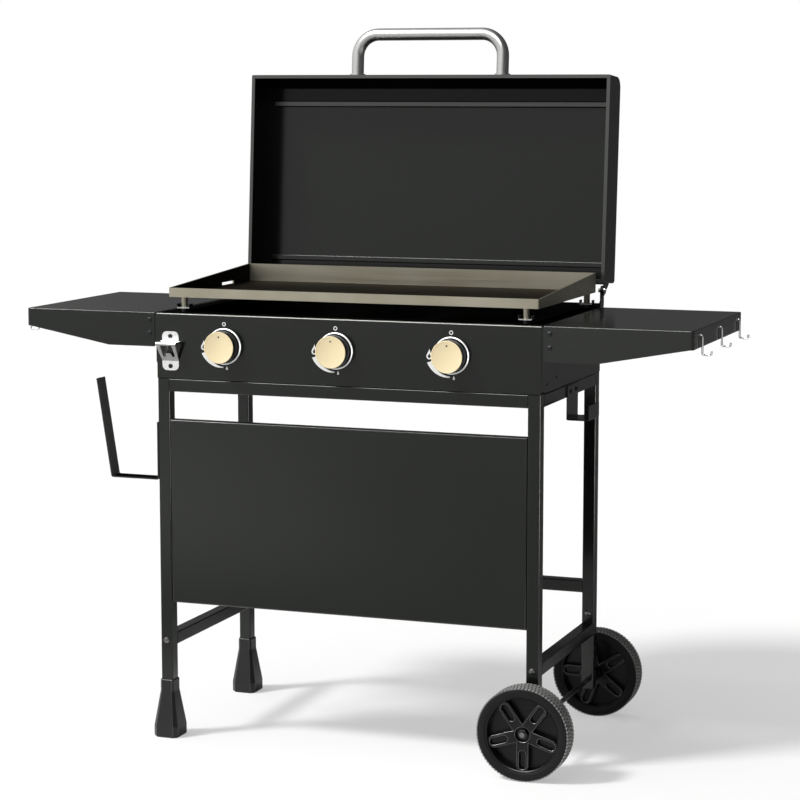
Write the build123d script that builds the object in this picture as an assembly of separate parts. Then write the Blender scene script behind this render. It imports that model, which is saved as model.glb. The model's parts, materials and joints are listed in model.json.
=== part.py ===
from build123d import *
import os

# Flat top griddle on a wheeled cart, lid open. Millimetres, +Z up, front face towards -Y.
# The layout is drawn with the front of the legs at y = 0 and centred in Y at the end.

# Cart frame
cart_width = 780.0
cart_depth = 405.0
tube_size = 25.0
tube_wall = 1.5
tube_corner = 2.5
leg_top = 716.0
lower_rail_centre = 195.0
cross_bar_centre = 281.5

# Front cover between the legs
cover_bottom = 272.0
cover_below_frame_top = 80.0
cover_flange = 18.0
cover_gauge = 1.2
cover_bend = 4.0

# Feet under the left legs
foot_height = 115.0
foot_collar = 30.0
foot_collar_bottom = 92.0
foot_band = 22.0
foot_base_x = 52.0
foot_base_y = 56.0
foot_collar_chamfer = 2.5
foot_base_chamfer = 5.0
foot_socket_floor = 45.0
foot_socket_fit = 0.2

# Wheels on the right legs
tyre_radius = 89.0
tyre_width = 43.0
tyre_edge = 3.0
rim_radius = 72.5
rim_wall = 4.0
rim_set_back = 2.0
web_gauge = 4.0
hub_radius = 30.0
hub_depth = 6.0
hub_recess_radius = 14.0
hub_recess_depth = 8.0
barrel_radius = 12.0
spoke_count = 5
spoke_width = 23.0
spoke_depth = 5.0
spoke_slot_width = 12.0
spoke_slot_inner = 33.0
spoke_slot_outer = 67.0
spoke_slot_depth = 8.0
axle_radius = 5.0
axle_drop = 17.0
front_wheel_gap = 22.0
rear_wheel_gap = 33.0
spacer_radius = 9.0
nut_across_flats = 17.0
nut_thickness = 8.0
axle_proud = 3.0
running_fit = 0.05
end_play = 0.4

# Firebox panels
panel_side_lap = 0.5
panel_height = 128.4
sheet_gauge = 1.5
panel_bend = 3.0
panel_top_flange = 56.0
panel_bottom_flange = 20.0
side_top_flange = 32.0
side_bottom_flange = 20.0
rear_panel_height = 137.0
rear_bottom_flange = 20.0
side_hole_radius = 3.0
side_hole_places = ((99.0, 24.0), (40.0, 17.0))

# Burner tray
tray_front_gap = 38.0
tray_lip = 8.0
tray_clear = 2.0

# Griddle plate, its feet and the cups below them
plate_side_margin = 12.6
plate_front = 27.6
plate_rear_overhang = 12.0
plate_standoff = 28.9
plate_front_height = 18.1
plate_rear_height = 39.0
plate_wall = 3.0
plate_floor = 3.5
plate_corner = 3.0
drain_slot_setback = 85.4
drain_slot_length = 58.0
drain_slot_height = 6.0
plate_foot_radius = 6.25
plate_foot_chamfer = 1.0
front_foot_inset = 28.4
front_foot_setback = 12.4
rear_foot_inset = 11.4
rear_foot_setback = 26.0
cup_length = 24.0
cup_width = 16.0
cup_gauge = 1.5
cup_lip = 7.0
cup_height = 8.6
cup_post_radius = 6.0
seat_gap = 0.1

# Hood, drawn shut and turned open about its hinge pins
hood_side_margin = 1.2
hood_front_inset = 11.7
hood_height = 82.0
hood_gauge = 1.2
hood_front_radius = 23.0
hood_rear_radius = 8.0
hood_side_bend = 3.0
hood_hem = 7.0
hood_hem_gauge = 2.4
hood_rear_overhang = 22.7
hood_rim_rise = 23.6
hood_open_angle = 94.2
stiffener_width = 12.0
stiffener_depth = 8.0
stiffener_edge = 2.5
stiffener_end_gap = 22.8
front_stiffener_offset = 55.0
rear_stiffener_offset = 36.0

# Hood hinge
hinge_behind_frame = 37.0
hinge_above_rim = 7.0
hinge_pin_radius = 4.0
hinge_eye_radius = 10.0
hinge_plate_gauge = 3.0
hinge_bracket_inset = 6.0
hinge_bracket_flange = 28.0
hinge_bracket_top_gap = 15.0
hinge_bracket_height = 63.0
hinge_arm_gauge = 2.5
hinge_arm_gap = 0.5
hinge_arm_flange = 24.0
hinge_arm_low = 10.0
hinge_arm_high = 40.0
hinge_pin_head_radius = 6.5
hinge_pin_head = 2.0
hinge_pin_reach = 8.5

# Hood handle
handle_radius = 12.5
handle_wall = 1.5
handle_spacing = 315.0
handle_standoff = 84.0
handle_bend = 45.0
handle_above_rim = 18.0
flange_radius = 16.0
flange_thickness = 3.0

# Side shelves
shelf_gap = 4.6
shelf_length = 280.0
shelf_rise = 0.6
shelf_gauge = 1.2
shelf_end_height = 35.0
shelf_gusset_height = 67.0
shelf_gusset_flat = 100.0
shelf_bend = 2.0
shelf_corner = 6.0
shelf_bolt_inset = 11.0
shelf_bolt_drops = (15.0, 41.0)
shelf_bracket_gauge = 2.0
shelf_bracket_height = 95.5
shelf_bracket_drop = 1.5
shelf_ear_reach = 12.0
shelf_ear_height = 62.5
shelf_bolt_radius = 3.0
shelf_bolt_head_radius = 5.0
shelf_bolt_head = 2.4
shelf_bolt_tail = 5.0
bolt_hole_fit = 0.1

# Tool hooks on the shelf ends
hook_wire = 2.0
hook_front_inset = 54.0
hook_middle_shift = 11.5
hook_rear_inset = 34.0
hook_below_top = 12.0
hook_drop = 36.0
hook_reach = 19.0
hook_tip = 7.0
hook_bend = 3.0
hook_hole_fit = 0.2
hook_tail = 7.0

# Brackets on the cart sides
bar_width = 32.0
bar_gauge = 3.0
bar_below_frame_top = 201.0
bar_tab = 114.0
bar_reach = 104.0
bar_upright = 195.0
bar_lean = 30.0
bar_bend = 5.0
hanger_gauge = 2.5
hanger_start = 170.0
hanger_width = 71.0
hanger_drop = 43.0
hanger_reach = 45.0
hanger_lip = 29.0
hanger_bend = 3.0

# Bottle opener on the control panel
opener_inset = 29.5
opener_width = 42.0
opener_tab_width = 35.0
opener_tab_corner = 10.0
opener_gauge = 1.5
opener_below_panel_top = 35.4
opener_head = 21.0
opener_reach = 25.0
opener_face_drop = 36.0
opener_tail = 19.0
opener_bend = 2.0
opener_window_width = 25.0
opener_window_top_margin = 5.0
opener_window_bottom_margin = 8.0
opener_tooth_width = 12.0
opener_tooth_height = 7.0
opener_window_corner = 2.5

# Knobs, bezels and valves
knob_left_inset = 143.2
knob_centre_place = -16.5
knob_right_inset = 175.1
knob_names = ("left", "centre", "right")
knob_below_panel_top = 61.0
knob_radius = 31.0
knob_front = 27.0
knob_panel_gap = 4.6
knob_edge = 2.0
knob_face_dish = 0.8
knob_face_margin = 3.0
knob_bore_depth = 9.0
knob_wall = 2.5
knob_boss_radius = 8.0
bezel_radius = 35.5
bezel_width = 3.9
bezel_thickness = 3.0
bezel_edge = 1.2
stem_radius = 4.0
stem_flat = 2.6
stem_end = 22.0
stem_hole_radius = 7.0
plug_radius = 7.0
plug_start = 8.0
plug_end = 34.0
plug_hole_end = 28.0
valve_half_width = 11.0
valve_half_height = 13.0
valve_end = 46.0
valve_corner = 3.0
nozzle_radius = 4.0
nozzle_length = 14.0

# Gas manifold
manifold_radius = 9.5
manifold_wall = 2.0
manifold_centre_y = 38.0
manifold_below_valve = 31.4
manifold_left_reach = 52.7
manifold_right_reach = 129.6
inlet_offset = 14.0
inlet_radius = 7.9
inlet_bore = 4.0
inlet_drop = 30.0
inlet_collar_radius = 10.5
inlet_collar = 6.0

# Burners and igniters
burner_radius = 12.5
burner_wall = 1.2
burner_start = 52.0
burner_rear_gap = 10.0
burner_tab_width = 18.0
burner_tab_gauge = 2.0
burner_port_count = 14
burner_port_first = 110.0
burner_port_rear_margin = 27.5
burner_port_width = 2.0
burner_port_length = 9.0
igniter_radius = 3.5
igniter_start = 78.0
igniter_length = 34.0
igniter_side = 19.0
igniter_rise = 8.0
igniter_wire = 1.2
igniter_wire_length = 16.0
igniter_clip = 2.0
igniter_clip_length = 12.0

# Derived places
half_cart = cart_width / 2
panel_width = cart_width + 2 * panel_side_lap
half_panel = panel_width / 2
panel_top = leg_top + panel_height
rear_panel_top = leg_top + rear_panel_height
cover_top = leg_top - cover_below_frame_top
leg_inner = half_cart - tube_size
leg_centre = half_cart - tube_size / 2
front_leg_y = tube_size / 2
rear_leg_y = cart_depth - tube_size / 2
rail_centre_z = leg_top - tube_size / 2
axle_z = tyre_radius
half_plate = half_cart - plate_side_margin
plate_rear = cart_depth + plate_rear_overhang
plate_bottom = panel_top + plate_standoff
hinge_y = cart_depth + hinge_behind_frame
hood_rear = cart_depth + hood_rear_overhang
hood_front = hood_front_inset
hood_rim_height = panel_top + hood_rim_rise
hood_top = hood_rim_height + hood_height
half_hood = half_cart - hood_side_margin
hinge_height = hood_rim_height + hinge_above_rim
hinge_bracket_outer = half_panel - hinge_bracket_inset
hinge_bracket_top = rear_panel_top - hinge_bracket_top_gap
hinge_bracket_bottom = hinge_bracket_top - hinge_bracket_height
hinge_pin_inner = hinge_bracket_outer - hinge_pin_reach
stiffener_half_length = half_hood - stiffener_end_gap
shelf_top = panel_top + shelf_rise
shelf_inner = half_panel + shelf_gap
shelf_outer = shelf_inner + shelf_length
shelf_bolt_x = shelf_inner + shelf_bolt_inset
shelf_bolt_heights = [shelf_top - drop for drop in shelf_bolt_drops]
rear_panel_inner = cart_depth - sheet_gauge
hook_places = (hook_front_inset, cart_depth / 2 + hook_middle_shift, cart_depth - hook_rear_inset)
bar_height = leg_top - bar_below_frame_top
opener_centre = -half_panel + opener_inset
opener_top = panel_top - opener_below_panel_top
opener_ledge = opener_top - opener_head
opener_foot = opener_ledge - opener_face_drop
opener_bottom = opener_foot - opener_tail
opener_window_top = opener_ledge - opener_window_top_margin
opener_window_bottom = opener_foot + opener_window_bottom_margin
knob_places = (-half_panel + knob_left_inset, knob_centre_place, half_panel - knob_right_inset)
knob_height = panel_top - knob_below_panel_top
manifold_height = knob_height - manifold_below_valve
manifold_left = knob_places[0] - manifold_left_reach
manifold_right = knob_places[-1] + manifold_right_reach
burner_end = rear_panel_inner - burner_rear_gap
burner_port_span = burner_end - burner_port_rear_margin - burner_port_length - burner_port_first
burner_port_pitch = burner_port_span / (burner_port_count - 1)


def block(x0, x1, y0, y1, z0, z1):
    middle = Pos((x0 + x1) / 2, (y0 + y1) / 2, (z0 + z1) / 2)
    return middle * Box(x1 - x0, y1 - y0, z1 - z0)


def rod(radius, start, end):
    start = Vector(*start)
    way = Vector(*end) - start
    return Solid.make_cylinder(radius, way.length, Plane(origin=start, z_dir=way))


def tube(outer, inner, start, end):
    return rod(outer, start, end) - rod(inner, start, end)


def square_tube(start, end, cross):
    start = Vector(*start)
    way = Vector(*end) - start
    inside = tube_size - 2 * tube_wall
    section = RectangleRounded(tube_size, tube_size, tube_corner) - Rectangle(inside, inside)
    place = Plane(origin=start, x_dir=cross, z_dir=way)
    return extrude(place * section, amount=way.length)


# A plane whose local axes read (y, z) at one x, or (x, z) at one y
def side_plane(x):
    return Plane(origin=(x, 0, 0), x_dir=(0, 1, 0), z_dir=(1, 0, 0))


def front_plane(y):
    return Plane(origin=(0, y, 0), x_dir=(1, 0, 0), z_dir=(0, -1, 0))


def bent_strip(points, gauge, bend, side):
    path = FilletPolyline(*points, radius=bend)
    outline = path.wire().offset_2d(gauge, side=side, closed=True)
    return make_face(outline)


# A strip bent in the y-z plane and run along X, or bent in x-z and run along Y
def strip_along_x(points, gauge, bend, x0, x1, side=Side.LEFT):
    return extrude(side_plane(x0) * bent_strip(points, gauge, bend, side), amount=x1 - x0)


def strip_along_y(points, gauge, bend, y0, y1, side=Side.LEFT):
    return extrude(front_plane(y1) * bent_strip(points, gauge, bend, side), amount=y1 - y0)


def plate_in_side_plane(points, x0, x1):
    return extrude(side_plane(x0) * make_face(Polyline(*points, close=True)), amount=x1 - x0)


def plate_in_front_plane(points, y0, y1):
    return extrude(front_plane(y1) * make_face(Polyline(*points, close=True)), amount=y1 - y0)


def mirrored(shape):
    return mirror(shape, about=Plane.YZ)


def group(*shapes):
    return Compound(children=[piece for shape in shapes for piece in shape.solids()])


nodes = {}

# Legs: the left pair stands in feet, the right pair carries the axle
left_leg_bottom = foot_socket_floor
right_leg_bottom = axle_z - axle_drop
leg_places = {
    "front_left_leg": (-leg_centre, front_leg_y, left_leg_bottom),
    "front_right_leg": (leg_centre, front_leg_y, right_leg_bottom),
    "rear_left_leg": (-leg_centre, rear_leg_y, left_leg_bottom),
    "rear_right_leg": (leg_centre, rear_leg_y, right_leg_bottom),
}
axle_hole = rod(axle_radius + running_fit, (leg_centre, -tube_size, axle_z),
                (leg_centre, cart_depth + tube_size, axle_z))
for name, (x, y, bottom) in leg_places.items():
    leg = square_tube((x, y, bottom), (x, y, leg_top), (1, 0, 0))
    if x > 0:
        leg = leg - axle_hole
    nodes[name] = leg

# Rails butt against the legs
nodes["upper_front_rail"] = square_tube((-leg_inner, front_leg_y, rail_centre_z),
                                        (leg_inner, front_leg_y, rail_centre_z), (0, 1, 0))
nodes["upper_rear_rail"] = square_tube((-leg_inner, rear_leg_y, rail_centre_z),
                                       (leg_inner, rear_leg_y, rail_centre_z), (0, 1, 0))
nodes["rear_cross_bar"] = square_tube((-leg_inner, rear_leg_y, cross_bar_centre),
                                      (leg_inner, rear_leg_y, cross_bar_centre), (0, 1, 0))


def side_rail(x, z):
    return square_tube((x, tube_size, z), (x, cart_depth - tube_size, z), (1, 0, 0))


nodes["upper_side_rails"] = group(side_rail(-leg_centre, rail_centre_z), side_rail(leg_centre, rail_centre_z))
nodes["lower_side_rails"] = group(side_rail(-leg_centre, lower_rail_centre),
                                  side_rail(leg_centre, lower_rail_centre))

# Front cover: a shallow pan of sheet with its flanges turned back between the legs
cover = block(-leg_inner, leg_inner, 0, cover_flange, cover_bottom, cover_top)
cover = fillet(cover.edges().filter_by_position(Axis.Y, -0.1, 0.1), cover_bend)
cover_hollow = block(-leg_inner + cover_gauge, leg_inner - cover_gauge, cover_gauge, cover_flange + 1,
                     cover_bottom + cover_gauge, cover_top - cover_gauge)
cover_hollow = fillet(cover_hollow.edges().filter_by_position(Axis.Y, cover_gauge - 0.1, cover_gauge + 0.1),
                      cover_bend - cover_gauge)
nodes["front_cover_panel"] = cover - cover_hollow


# Feet: a collar flaring to a broad base, with a square socket for the leg
def cut_corner_rectangle(width, depth, chamfer_size):
    return chamfer(Rectangle(width, depth).vertices(), chamfer_size)


def foot(y):
    collar = cut_corner_rectangle(foot_collar, foot_collar, foot_collar_chamfer)
    base = cut_corner_rectangle(foot_base_x, foot_base_y, foot_base_chamfer)
    shape = extrude(base, amount=foot_band)
    shape += loft([Pos(0, 0, foot_band) * base, Pos(0, 0, foot_collar_bottom) * collar], ruled=True)
    shape += extrude(Pos(0, 0, foot_collar_bottom) * collar, amount=foot_height - foot_collar_bottom)
    socket = tube_size + 2 * foot_socket_fit
    shape -= block(-socket / 2, socket / 2, -socket / 2, socket / 2, foot_socket_floor, foot_height + 1)
    return Pos(-leg_centre, y, 0) * shape


nodes["left_feet"] = group(foot(front_leg_y), foot(rear_leg_y))

# Axle with its spacers and nuts
front_wheel_inner = -front_wheel_gap
front_wheel_outer = front_wheel_inner - tyre_width
rear_wheel_inner = cart_depth + rear_wheel_gap
rear_wheel_outer = rear_wheel_inner + tyre_width
hub_floor = hub_depth + hub_recess_depth
front_nut_inner = front_wheel_outer + hub_floor - end_play
rear_nut_inner = rear_wheel_outer - hub_floor + end_play
front_axle_end = front_nut_inner - nut_thickness - axle_proud
rear_axle_end = rear_nut_inner + nut_thickness + axle_proud


def on_axle(y):
    return (leg_centre, y, axle_z)


nodes["wheel_axle"] = rod(axle_radius, on_axle(front_axle_end), on_axle(rear_axle_end))
nodes["axle_spacers"] = group(
    tube(spacer_radius, axle_radius + running_fit, on_axle(front_wheel_inner + end_play), on_axle(0)),
    tube(spacer_radius, axle_radius + running_fit, on_axle(cart_depth), on_axle(rear_wheel_inner - end_play)))


def axle_nut(outer_face):
    hexagon = RegularPolygon(nut_across_flats / 2, 6, major_radius=False) - Circle(axle_radius)
    place = Plane(origin=on_axle(outer_face), x_dir=(1, 0, 0), z_dir=(0, 1, 0))
    return extrude(place * hexagon, amount=nut_thickness)


nodes["axle_nuts"] = group(axle_nut(front_nut_inner - nut_thickness), axle_nut(rear_nut_inner))


# A wheel drawn with its outer face at w = 0 and w running towards the cart
def wheel_disc():
    def ring(outer, inner, w0, w1):
        return tube(outer, inner, (0, 0, w0), (0, 0, w1))

    bore = axle_radius + running_fit
    disc = ring(rim_radius, rim_radius - rim_wall, rim_set_back, tyre_width - rim_set_back)
    web_start = (tyre_width - web_gauge) / 2
    disc += ring(rim_radius - rim_wall / 2, bore, web_start, web_start + web_gauge)
    disc += ring(hub_radius, bore, hub_depth, tyre_width - hub_depth)
    disc += ring(barrel_radius, bore, web_start, tyre_width)
    slot_middle = (spoke_slot_inner + spoke_slot_outer) / 2
    slot_length = spoke_slot_outer - spoke_slot_inner
    for spoke in range(spoke_count):
        turn = Rot(0, 0, spoke * 360 / spoke_count)
        arm = block(hub_recess_radius, rim_radius - rim_wall / 2, -spoke_width / 2, spoke_width / 2,
                    spoke_depth, tyre_width - spoke_depth)
        slot = extrude(SlotOverall(slot_length, spoke_slot_width), amount=spoke_slot_depth)
        arm -= Pos(slot_middle, 0, spoke_depth) * slot
        arm -= Pos(slot_middle, 0, tyre_width - spoke_depth - spoke_slot_depth) * slot
        disc += turn * arm
    disc -= rod(hub_recess_radius, (0, 0, 0), (0, 0, hub_floor))
    return disc


def tyre_ring():
    ring = tube(tyre_radius, rim_radius, (0, 0, 0), (0, 0, tyre_width))
    outer_edges = ring.edges().filter_by(GeomType.CIRCLE).sort_by(SortBy.RADIUS)[-2:]
    return fillet(outer_edges, tyre_edge)


# One spoke points straight down on both wheels
front_wheel_place = Plane(origin=on_axle(front_wheel_outer), x_dir=(0, 0, -1), z_dir=(0, 1, 0)).location
rear_wheel_place = Plane(origin=on_axle(rear_wheel_outer), x_dir=(0, 0, -1), z_dir=(0, -1, 0)).location
nodes["front_wheel"] = front_wheel_place * wheel_disc()
nodes["front_tyre"] = front_wheel_place * tyre_ring()
nodes["rear_wheel"] = rear_wheel_place * wheel_disc()
nodes["rear_tyre"] = rear_wheel_place * tyre_ring()

# Control panel: sheet with a deep top flange and a bottom flange on the front rail
panel_path = ((panel_bottom_flange, leg_top), (0, leg_top), (0, panel_top), (panel_top_flange, panel_top))
control_panel = strip_along_x(panel_path, sheet_gauge, panel_bend, -half_panel, half_panel, Side.RIGHT)
for x in knob_places:
    control_panel -= rod(stem_hole_radius, (x, -1, knob_height), (x, sheet_gauge + 1, knob_height))
nodes["control_panel"] = control_panel

# Side panels: sheet with flanges turned inwards at top and bottom
side_path = ((half_panel - side_bottom_flange, leg_top), (half_panel, leg_top), (half_panel, panel_top),
             (half_panel - side_top_flange, panel_top))
side_panel = strip_along_y(side_path, sheet_gauge, panel_bend, sheet_gauge, rear_panel_inner)
# The top and bottom flanges stop short of the front panel's flanges
bend_start = half_panel - panel_bend
side_panel -= block(0, bend_start, 0, panel_top_flange, panel_top - sheet_gauge - 1, panel_top + 1)
side_panel -= block(0, bend_start, 0, panel_bottom_flange, leg_top - 1, leg_top + sheet_gauge + 1)
corner_top = panel_top - panel_bend - sheet_gauge
side_panel -= block(bend_start - 1, half_panel + 1, 0, panel_top_flange, corner_top, panel_top + 1)
corner_bottom = leg_top + panel_bend + sheet_gauge
side_panel -= block(bend_start - 1, half_panel + 1, 0, panel_bottom_flange, leg_top - 1, corner_bottom)
for y, rise in side_hole_places:
    hole_z = leg_top + rise
    side_panel -= rod(side_hole_radius, (half_panel - 5, y, hole_z), (half_panel + 5, y, hole_z))
nodes["right_side_panel"] = side_panel
nodes["left_side_panel"] = mirrored(side_panel)

# Rear panel: upright sheet with a bottom flange on the rear rail
rear_path = ((cart_depth - rear_bottom_flange, leg_top), (cart_depth, leg_top), (cart_depth, rear_panel_top))
rear_panel = strip_along_x(rear_path, sheet_gauge, panel_bend, -half_panel, half_panel)
rear_panel -= block(-half_panel - 1, -half_panel + side_bottom_flange, 0, rear_panel_inner,
                    leg_top - 1, leg_top + sheet_gauge + panel_bend)
rear_panel -= block(half_panel - side_bottom_flange, half_panel + 1, 0, rear_panel_inner,
                    leg_top - 1, leg_top + sheet_gauge + panel_bend)
nodes["rear_panel"] = rear_panel

# Burner tray: a shallow pan on the side flanges
tray_floor = leg_top + sheet_gauge
tray_half = half_panel - sheet_gauge - panel_bend - tray_clear
tray_front = panel_bottom_flange + tray_front_gap
tray_rear = cart_depth - rear_bottom_flange - tray_clear
tray = block(-tray_half, tray_half, tray_front, tray_rear, tray_floor, tray_floor + tray_lip)
tray -= block(-tray_half + sheet_gauge, tray_half - sheet_gauge, tray_front + sheet_gauge,
              tray_rear - sheet_gauge, tray_floor + sheet_gauge, tray_floor + tray_lip + 1)
nodes["burner_tray"] = tray

# Griddle plate: flat floor, side walls rising to the rear, a drain slot in the left wall
floor_top = plate_bottom + plate_floor
wall_front_top = plate_bottom + plate_front_height
wall_rear_top = plate_bottom + plate_rear_height
inner_front = plate_front + plate_wall
inner_rear = plate_rear - plate_wall
griddle = block(-half_plate, half_plate, plate_front, plate_rear, plate_bottom, wall_rear_top)
griddle = fillet(griddle.edges().filter_by(Axis.Z), plate_corner)
griddle -= block(-half_plate + plate_wall, half_plate - plate_wall, inner_front, inner_rear, floor_top,
                 wall_rear_top + 1)
slope_cut = ((plate_front - 1, wall_front_top), (inner_front, wall_front_top), (inner_rear, wall_rear_top),
             (inner_rear, wall_rear_top + 1), (plate_front - 1, wall_rear_top + 1))
griddle -= plate_in_side_plane(slope_cut, -half_plate - 1, half_plate + 1)
slot_y = plate_rear - drain_slot_setback - drain_slot_length
griddle -= block(-half_plate - 1, -half_plate + plate_wall + 1, slot_y, slot_y + drain_slot_length,
                 floor_top, floor_top + drain_slot_height)
nodes["griddle_plate"] = griddle

# Plate feet and the cups they stand in
front_foot_y = plate_front + front_foot_setback
rear_foot_y = plate_rear - rear_foot_setback
foot_places = []
for sign in (-1, 1):
    foot_places.append((sign * (half_plate - front_foot_inset), front_foot_y))
    foot_places.append((sign * (half_plate - rear_foot_inset), rear_foot_y))
cup_floor = panel_top + cup_height
plate_feet = []
foot_cups = []
for x, y in foot_places:
    stub = rod(plate_foot_radius, (x, y, cup_floor + seat_gap), (x, y, plate_bottom))
    plate_feet.append(chamfer(stub.edges().sort_by(Axis.Z)[0], plate_foot_chamfer))
    cup = rod(cup_post_radius, (x, y, panel_top), (x, y, cup_floor - cup_gauge / 2))
    cup_left = x - cup_length / 2
    cup_right = x + cup_length / 2
    cup_path = ((cup_left, cup_floor + cup_lip), (cup_left, cup_floor), (cup_right, cup_floor),
                (cup_right, cup_floor + cup_lip))
    cup += strip_along_y(cup_path, cup_gauge, cup_gauge, y - cup_width / 2, y + cup_width / 2, Side.RIGHT)
    foot_cups.append(cup)
nodes["plate_feet"] = group(*plate_feet)
nodes["plate_foot_cups"] = group(*foot_cups)


# Hood shell: rounded front edge, flat ends and an inward hem round the rim
def hood_block(inset):
    top = hood_top - inset
    base = hood_rim_height - (1 if inset else 0)
    front = hood_front + inset
    rear = hood_rear - inset
    shape = block(-half_hood + inset, half_hood - inset, front, rear, base, top)
    top_edges = shape.edges().filter_by(Axis.X).group_by(Axis.Z)[-1].sort_by(Axis.Y)
    shape = fillet(top_edges[0], hood_front_radius - inset)
    top_edges = shape.edges().filter_by(Axis.X).group_by(Axis.Z)[-1].sort_by(Axis.Y)
    return fillet(top_edges[-1], hood_rear_radius - inset)


outer_hood = hood_block(0)
end_edges = (outer_hood.faces().sort_by(Axis.X)[-1].edges() + outer_hood.faces().sort_by(Axis.X)[0].edges())
bend_edges = [edge for edge in end_edges if edge.center().Z > hood_rim_height + 0.1]
hood_shell = fillet(bend_edges, hood_side_bend) - hood_block(hood_gauge)
hem = block(-half_hood + hood_gauge / 2, half_hood - hood_gauge / 2, hood_front + hood_gauge / 2,
            hood_rear - hood_gauge / 2, hood_rim_height, hood_rim_height + hood_hem_gauge)
hem -= block(-half_hood + hood_hem, half_hood - hood_hem, hood_front + hood_hem, hood_rear - hood_hem,
             hood_rim_height - 1, hood_rim_height + hood_hem_gauge + 1)
hood_shell = hood_shell + hem

inner_top = hood_top - hood_gauge
front_strip_y = hood_front + front_stiffener_offset
rear_strip_y = hood_rear - rear_stiffener_offset
hood_stiffeners = []
for y in (front_strip_y, rear_strip_y):
    strip = block(-stiffener_half_length, stiffener_half_length, y - stiffener_width / 2,
                  y + stiffener_width / 2, inner_top - stiffener_depth, inner_top)
    hood_stiffeners.append(fillet(strip.edges().filter_by(Axis.X).group_by(Axis.Z)[0], stiffener_edge))

# Handle: a bent tube standing on two flanges
handle_z = hood_rim_height + handle_above_rim
handle_half = handle_spacing / 2
handle_foot_y = hood_front - flange_thickness
handle_bar_y = hood_front - handle_standoff
handle_path = FilletPolyline((-handle_half, handle_foot_y, handle_z), (-handle_half, handle_bar_y, handle_z),
                             (handle_half, handle_bar_y, handle_z), (handle_half, handle_foot_y, handle_z),
                             radius=handle_bend)
handle_section = Plane(origin=(-handle_half, handle_foot_y, handle_z), z_dir=(0, -1, 0))
handle_ring = handle_section * (Circle(handle_radius) - Circle(handle_radius - handle_wall))
handle_tube = sweep(handle_ring, path=handle_path)
handle_flanges = [rod(flange_radius, (x, handle_foot_y, handle_z), (x, hood_front, handle_z))
                  for x in (-handle_half, handle_half)]

# Hinge arms: eyes round the pins, each with a flange on the hood's rear wall
arm_inner = hinge_bracket_outer + hinge_arm_gap
arm_outer = arm_inner + hinge_arm_gauge


def eye_plate(points, x0, x1, hole_radius):
    shape = plate_in_side_plane(points, x0, x1)
    shape += rod(hinge_eye_radius, (x0, hinge_y, hinge_height), (x1, hinge_y, hinge_height))
    return shape - rod(hole_radius, (x0 - 1, hinge_y, hinge_height), (x1 + 1, hinge_y, hinge_height))


arm_low = hood_rim_height + hinge_arm_low
arm_high = hood_rim_height + hinge_arm_high
arm_points = ((hood_rear, arm_low), (hinge_y, hinge_height - hinge_eye_radius),
              (hinge_y + hinge_eye_radius, hinge_height), (hood_rear + hinge_arm_gauge, arm_high),
              (hood_rear, arm_high))
hinge_arm = eye_plate(arm_points, arm_inner, arm_outer, hinge_pin_radius + running_fit)
hinge_arm += block(arm_outer - hinge_arm_flange, arm_outer, hood_rear, hood_rear + hinge_arm_gauge,
                   arm_low + hinge_eye_radius, arm_high)
hinge_arms = [hinge_arm, mirrored(hinge_arm)]

# The hood group turns back about the hinge pins to its open place
hinge_axis = Axis((0, hinge_y, hinge_height), (1, 0, 0))


def opened(shape):
    return shape.rotate(hinge_axis, -hood_open_angle)


nodes["hood_shell"] = opened(hood_shell)
nodes["hood_stiffeners"] = group(*[opened(strip) for strip in hood_stiffeners])
nodes["hood_handle"] = opened(handle_tube)
nodes["handle_flanges"] = group(*[opened(flange) for flange in handle_flanges])
nodes["hinge_arms"] = group(*[opened(arm) for arm in hinge_arms])

# Hinge brackets bolted to the rear panel, and the pins through them
bracket_inner = hinge_bracket_outer - hinge_plate_gauge
bracket_rear = cart_depth + hinge_plate_gauge
bracket_points = ((cart_depth, hinge_bracket_bottom), (bracket_rear, hinge_bracket_bottom),
                  (hinge_y + hinge_eye_radius, hinge_height - 3 * hinge_eye_radius),
                  (hinge_y + hinge_eye_radius, hinge_height), (hinge_y - hinge_eye_radius, hinge_height),
                  (hinge_y - hinge_eye_radius, hinge_height - 2 * hinge_eye_radius),
                  (cart_depth, hinge_bracket_top))
hinge_bracket = eye_plate(bracket_points, bracket_inner, hinge_bracket_outer, hinge_pin_radius)
hinge_bracket += block(hinge_bracket_outer - hinge_bracket_flange, hinge_bracket_outer, cart_depth,
                       bracket_rear, hinge_bracket_bottom, hinge_bracket_top)
nodes["hinge_brackets"] = group(hinge_bracket, mirrored(hinge_bracket))
pin_head_start = arm_outer + hinge_arm_gap
pin_head_end = pin_head_start + hinge_pin_head


def on_hinge(x):
    return (x, hinge_y, hinge_height)


hinge_pin = rod(hinge_pin_radius, on_hinge(hinge_pin_inner), on_hinge(pin_head_start))
hinge_pin += rod(hinge_pin_head_radius, on_hinge(pin_head_start), on_hinge(pin_head_end))
nodes["hinge_pins"] = group(hinge_pin, mirrored(hinge_pin))


# Right shelf: a folded tray with deep gussets at the cart end
def shelf_hook_holes():
    hole_z = shelf_top - hook_below_top
    return [rod(hook_wire + hook_hole_fit, (shelf_outer - 5, y, hole_z), (shelf_outer + 5, y, hole_z))
            for y in hook_places]


def shelf_bolt_holes():
    return [rod(shelf_bolt_radius + bolt_hole_fit, (shelf_bolt_x, -1, z), (shelf_bolt_x, cart_depth + 1, z))
            for z in shelf_bolt_heights]


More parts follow.
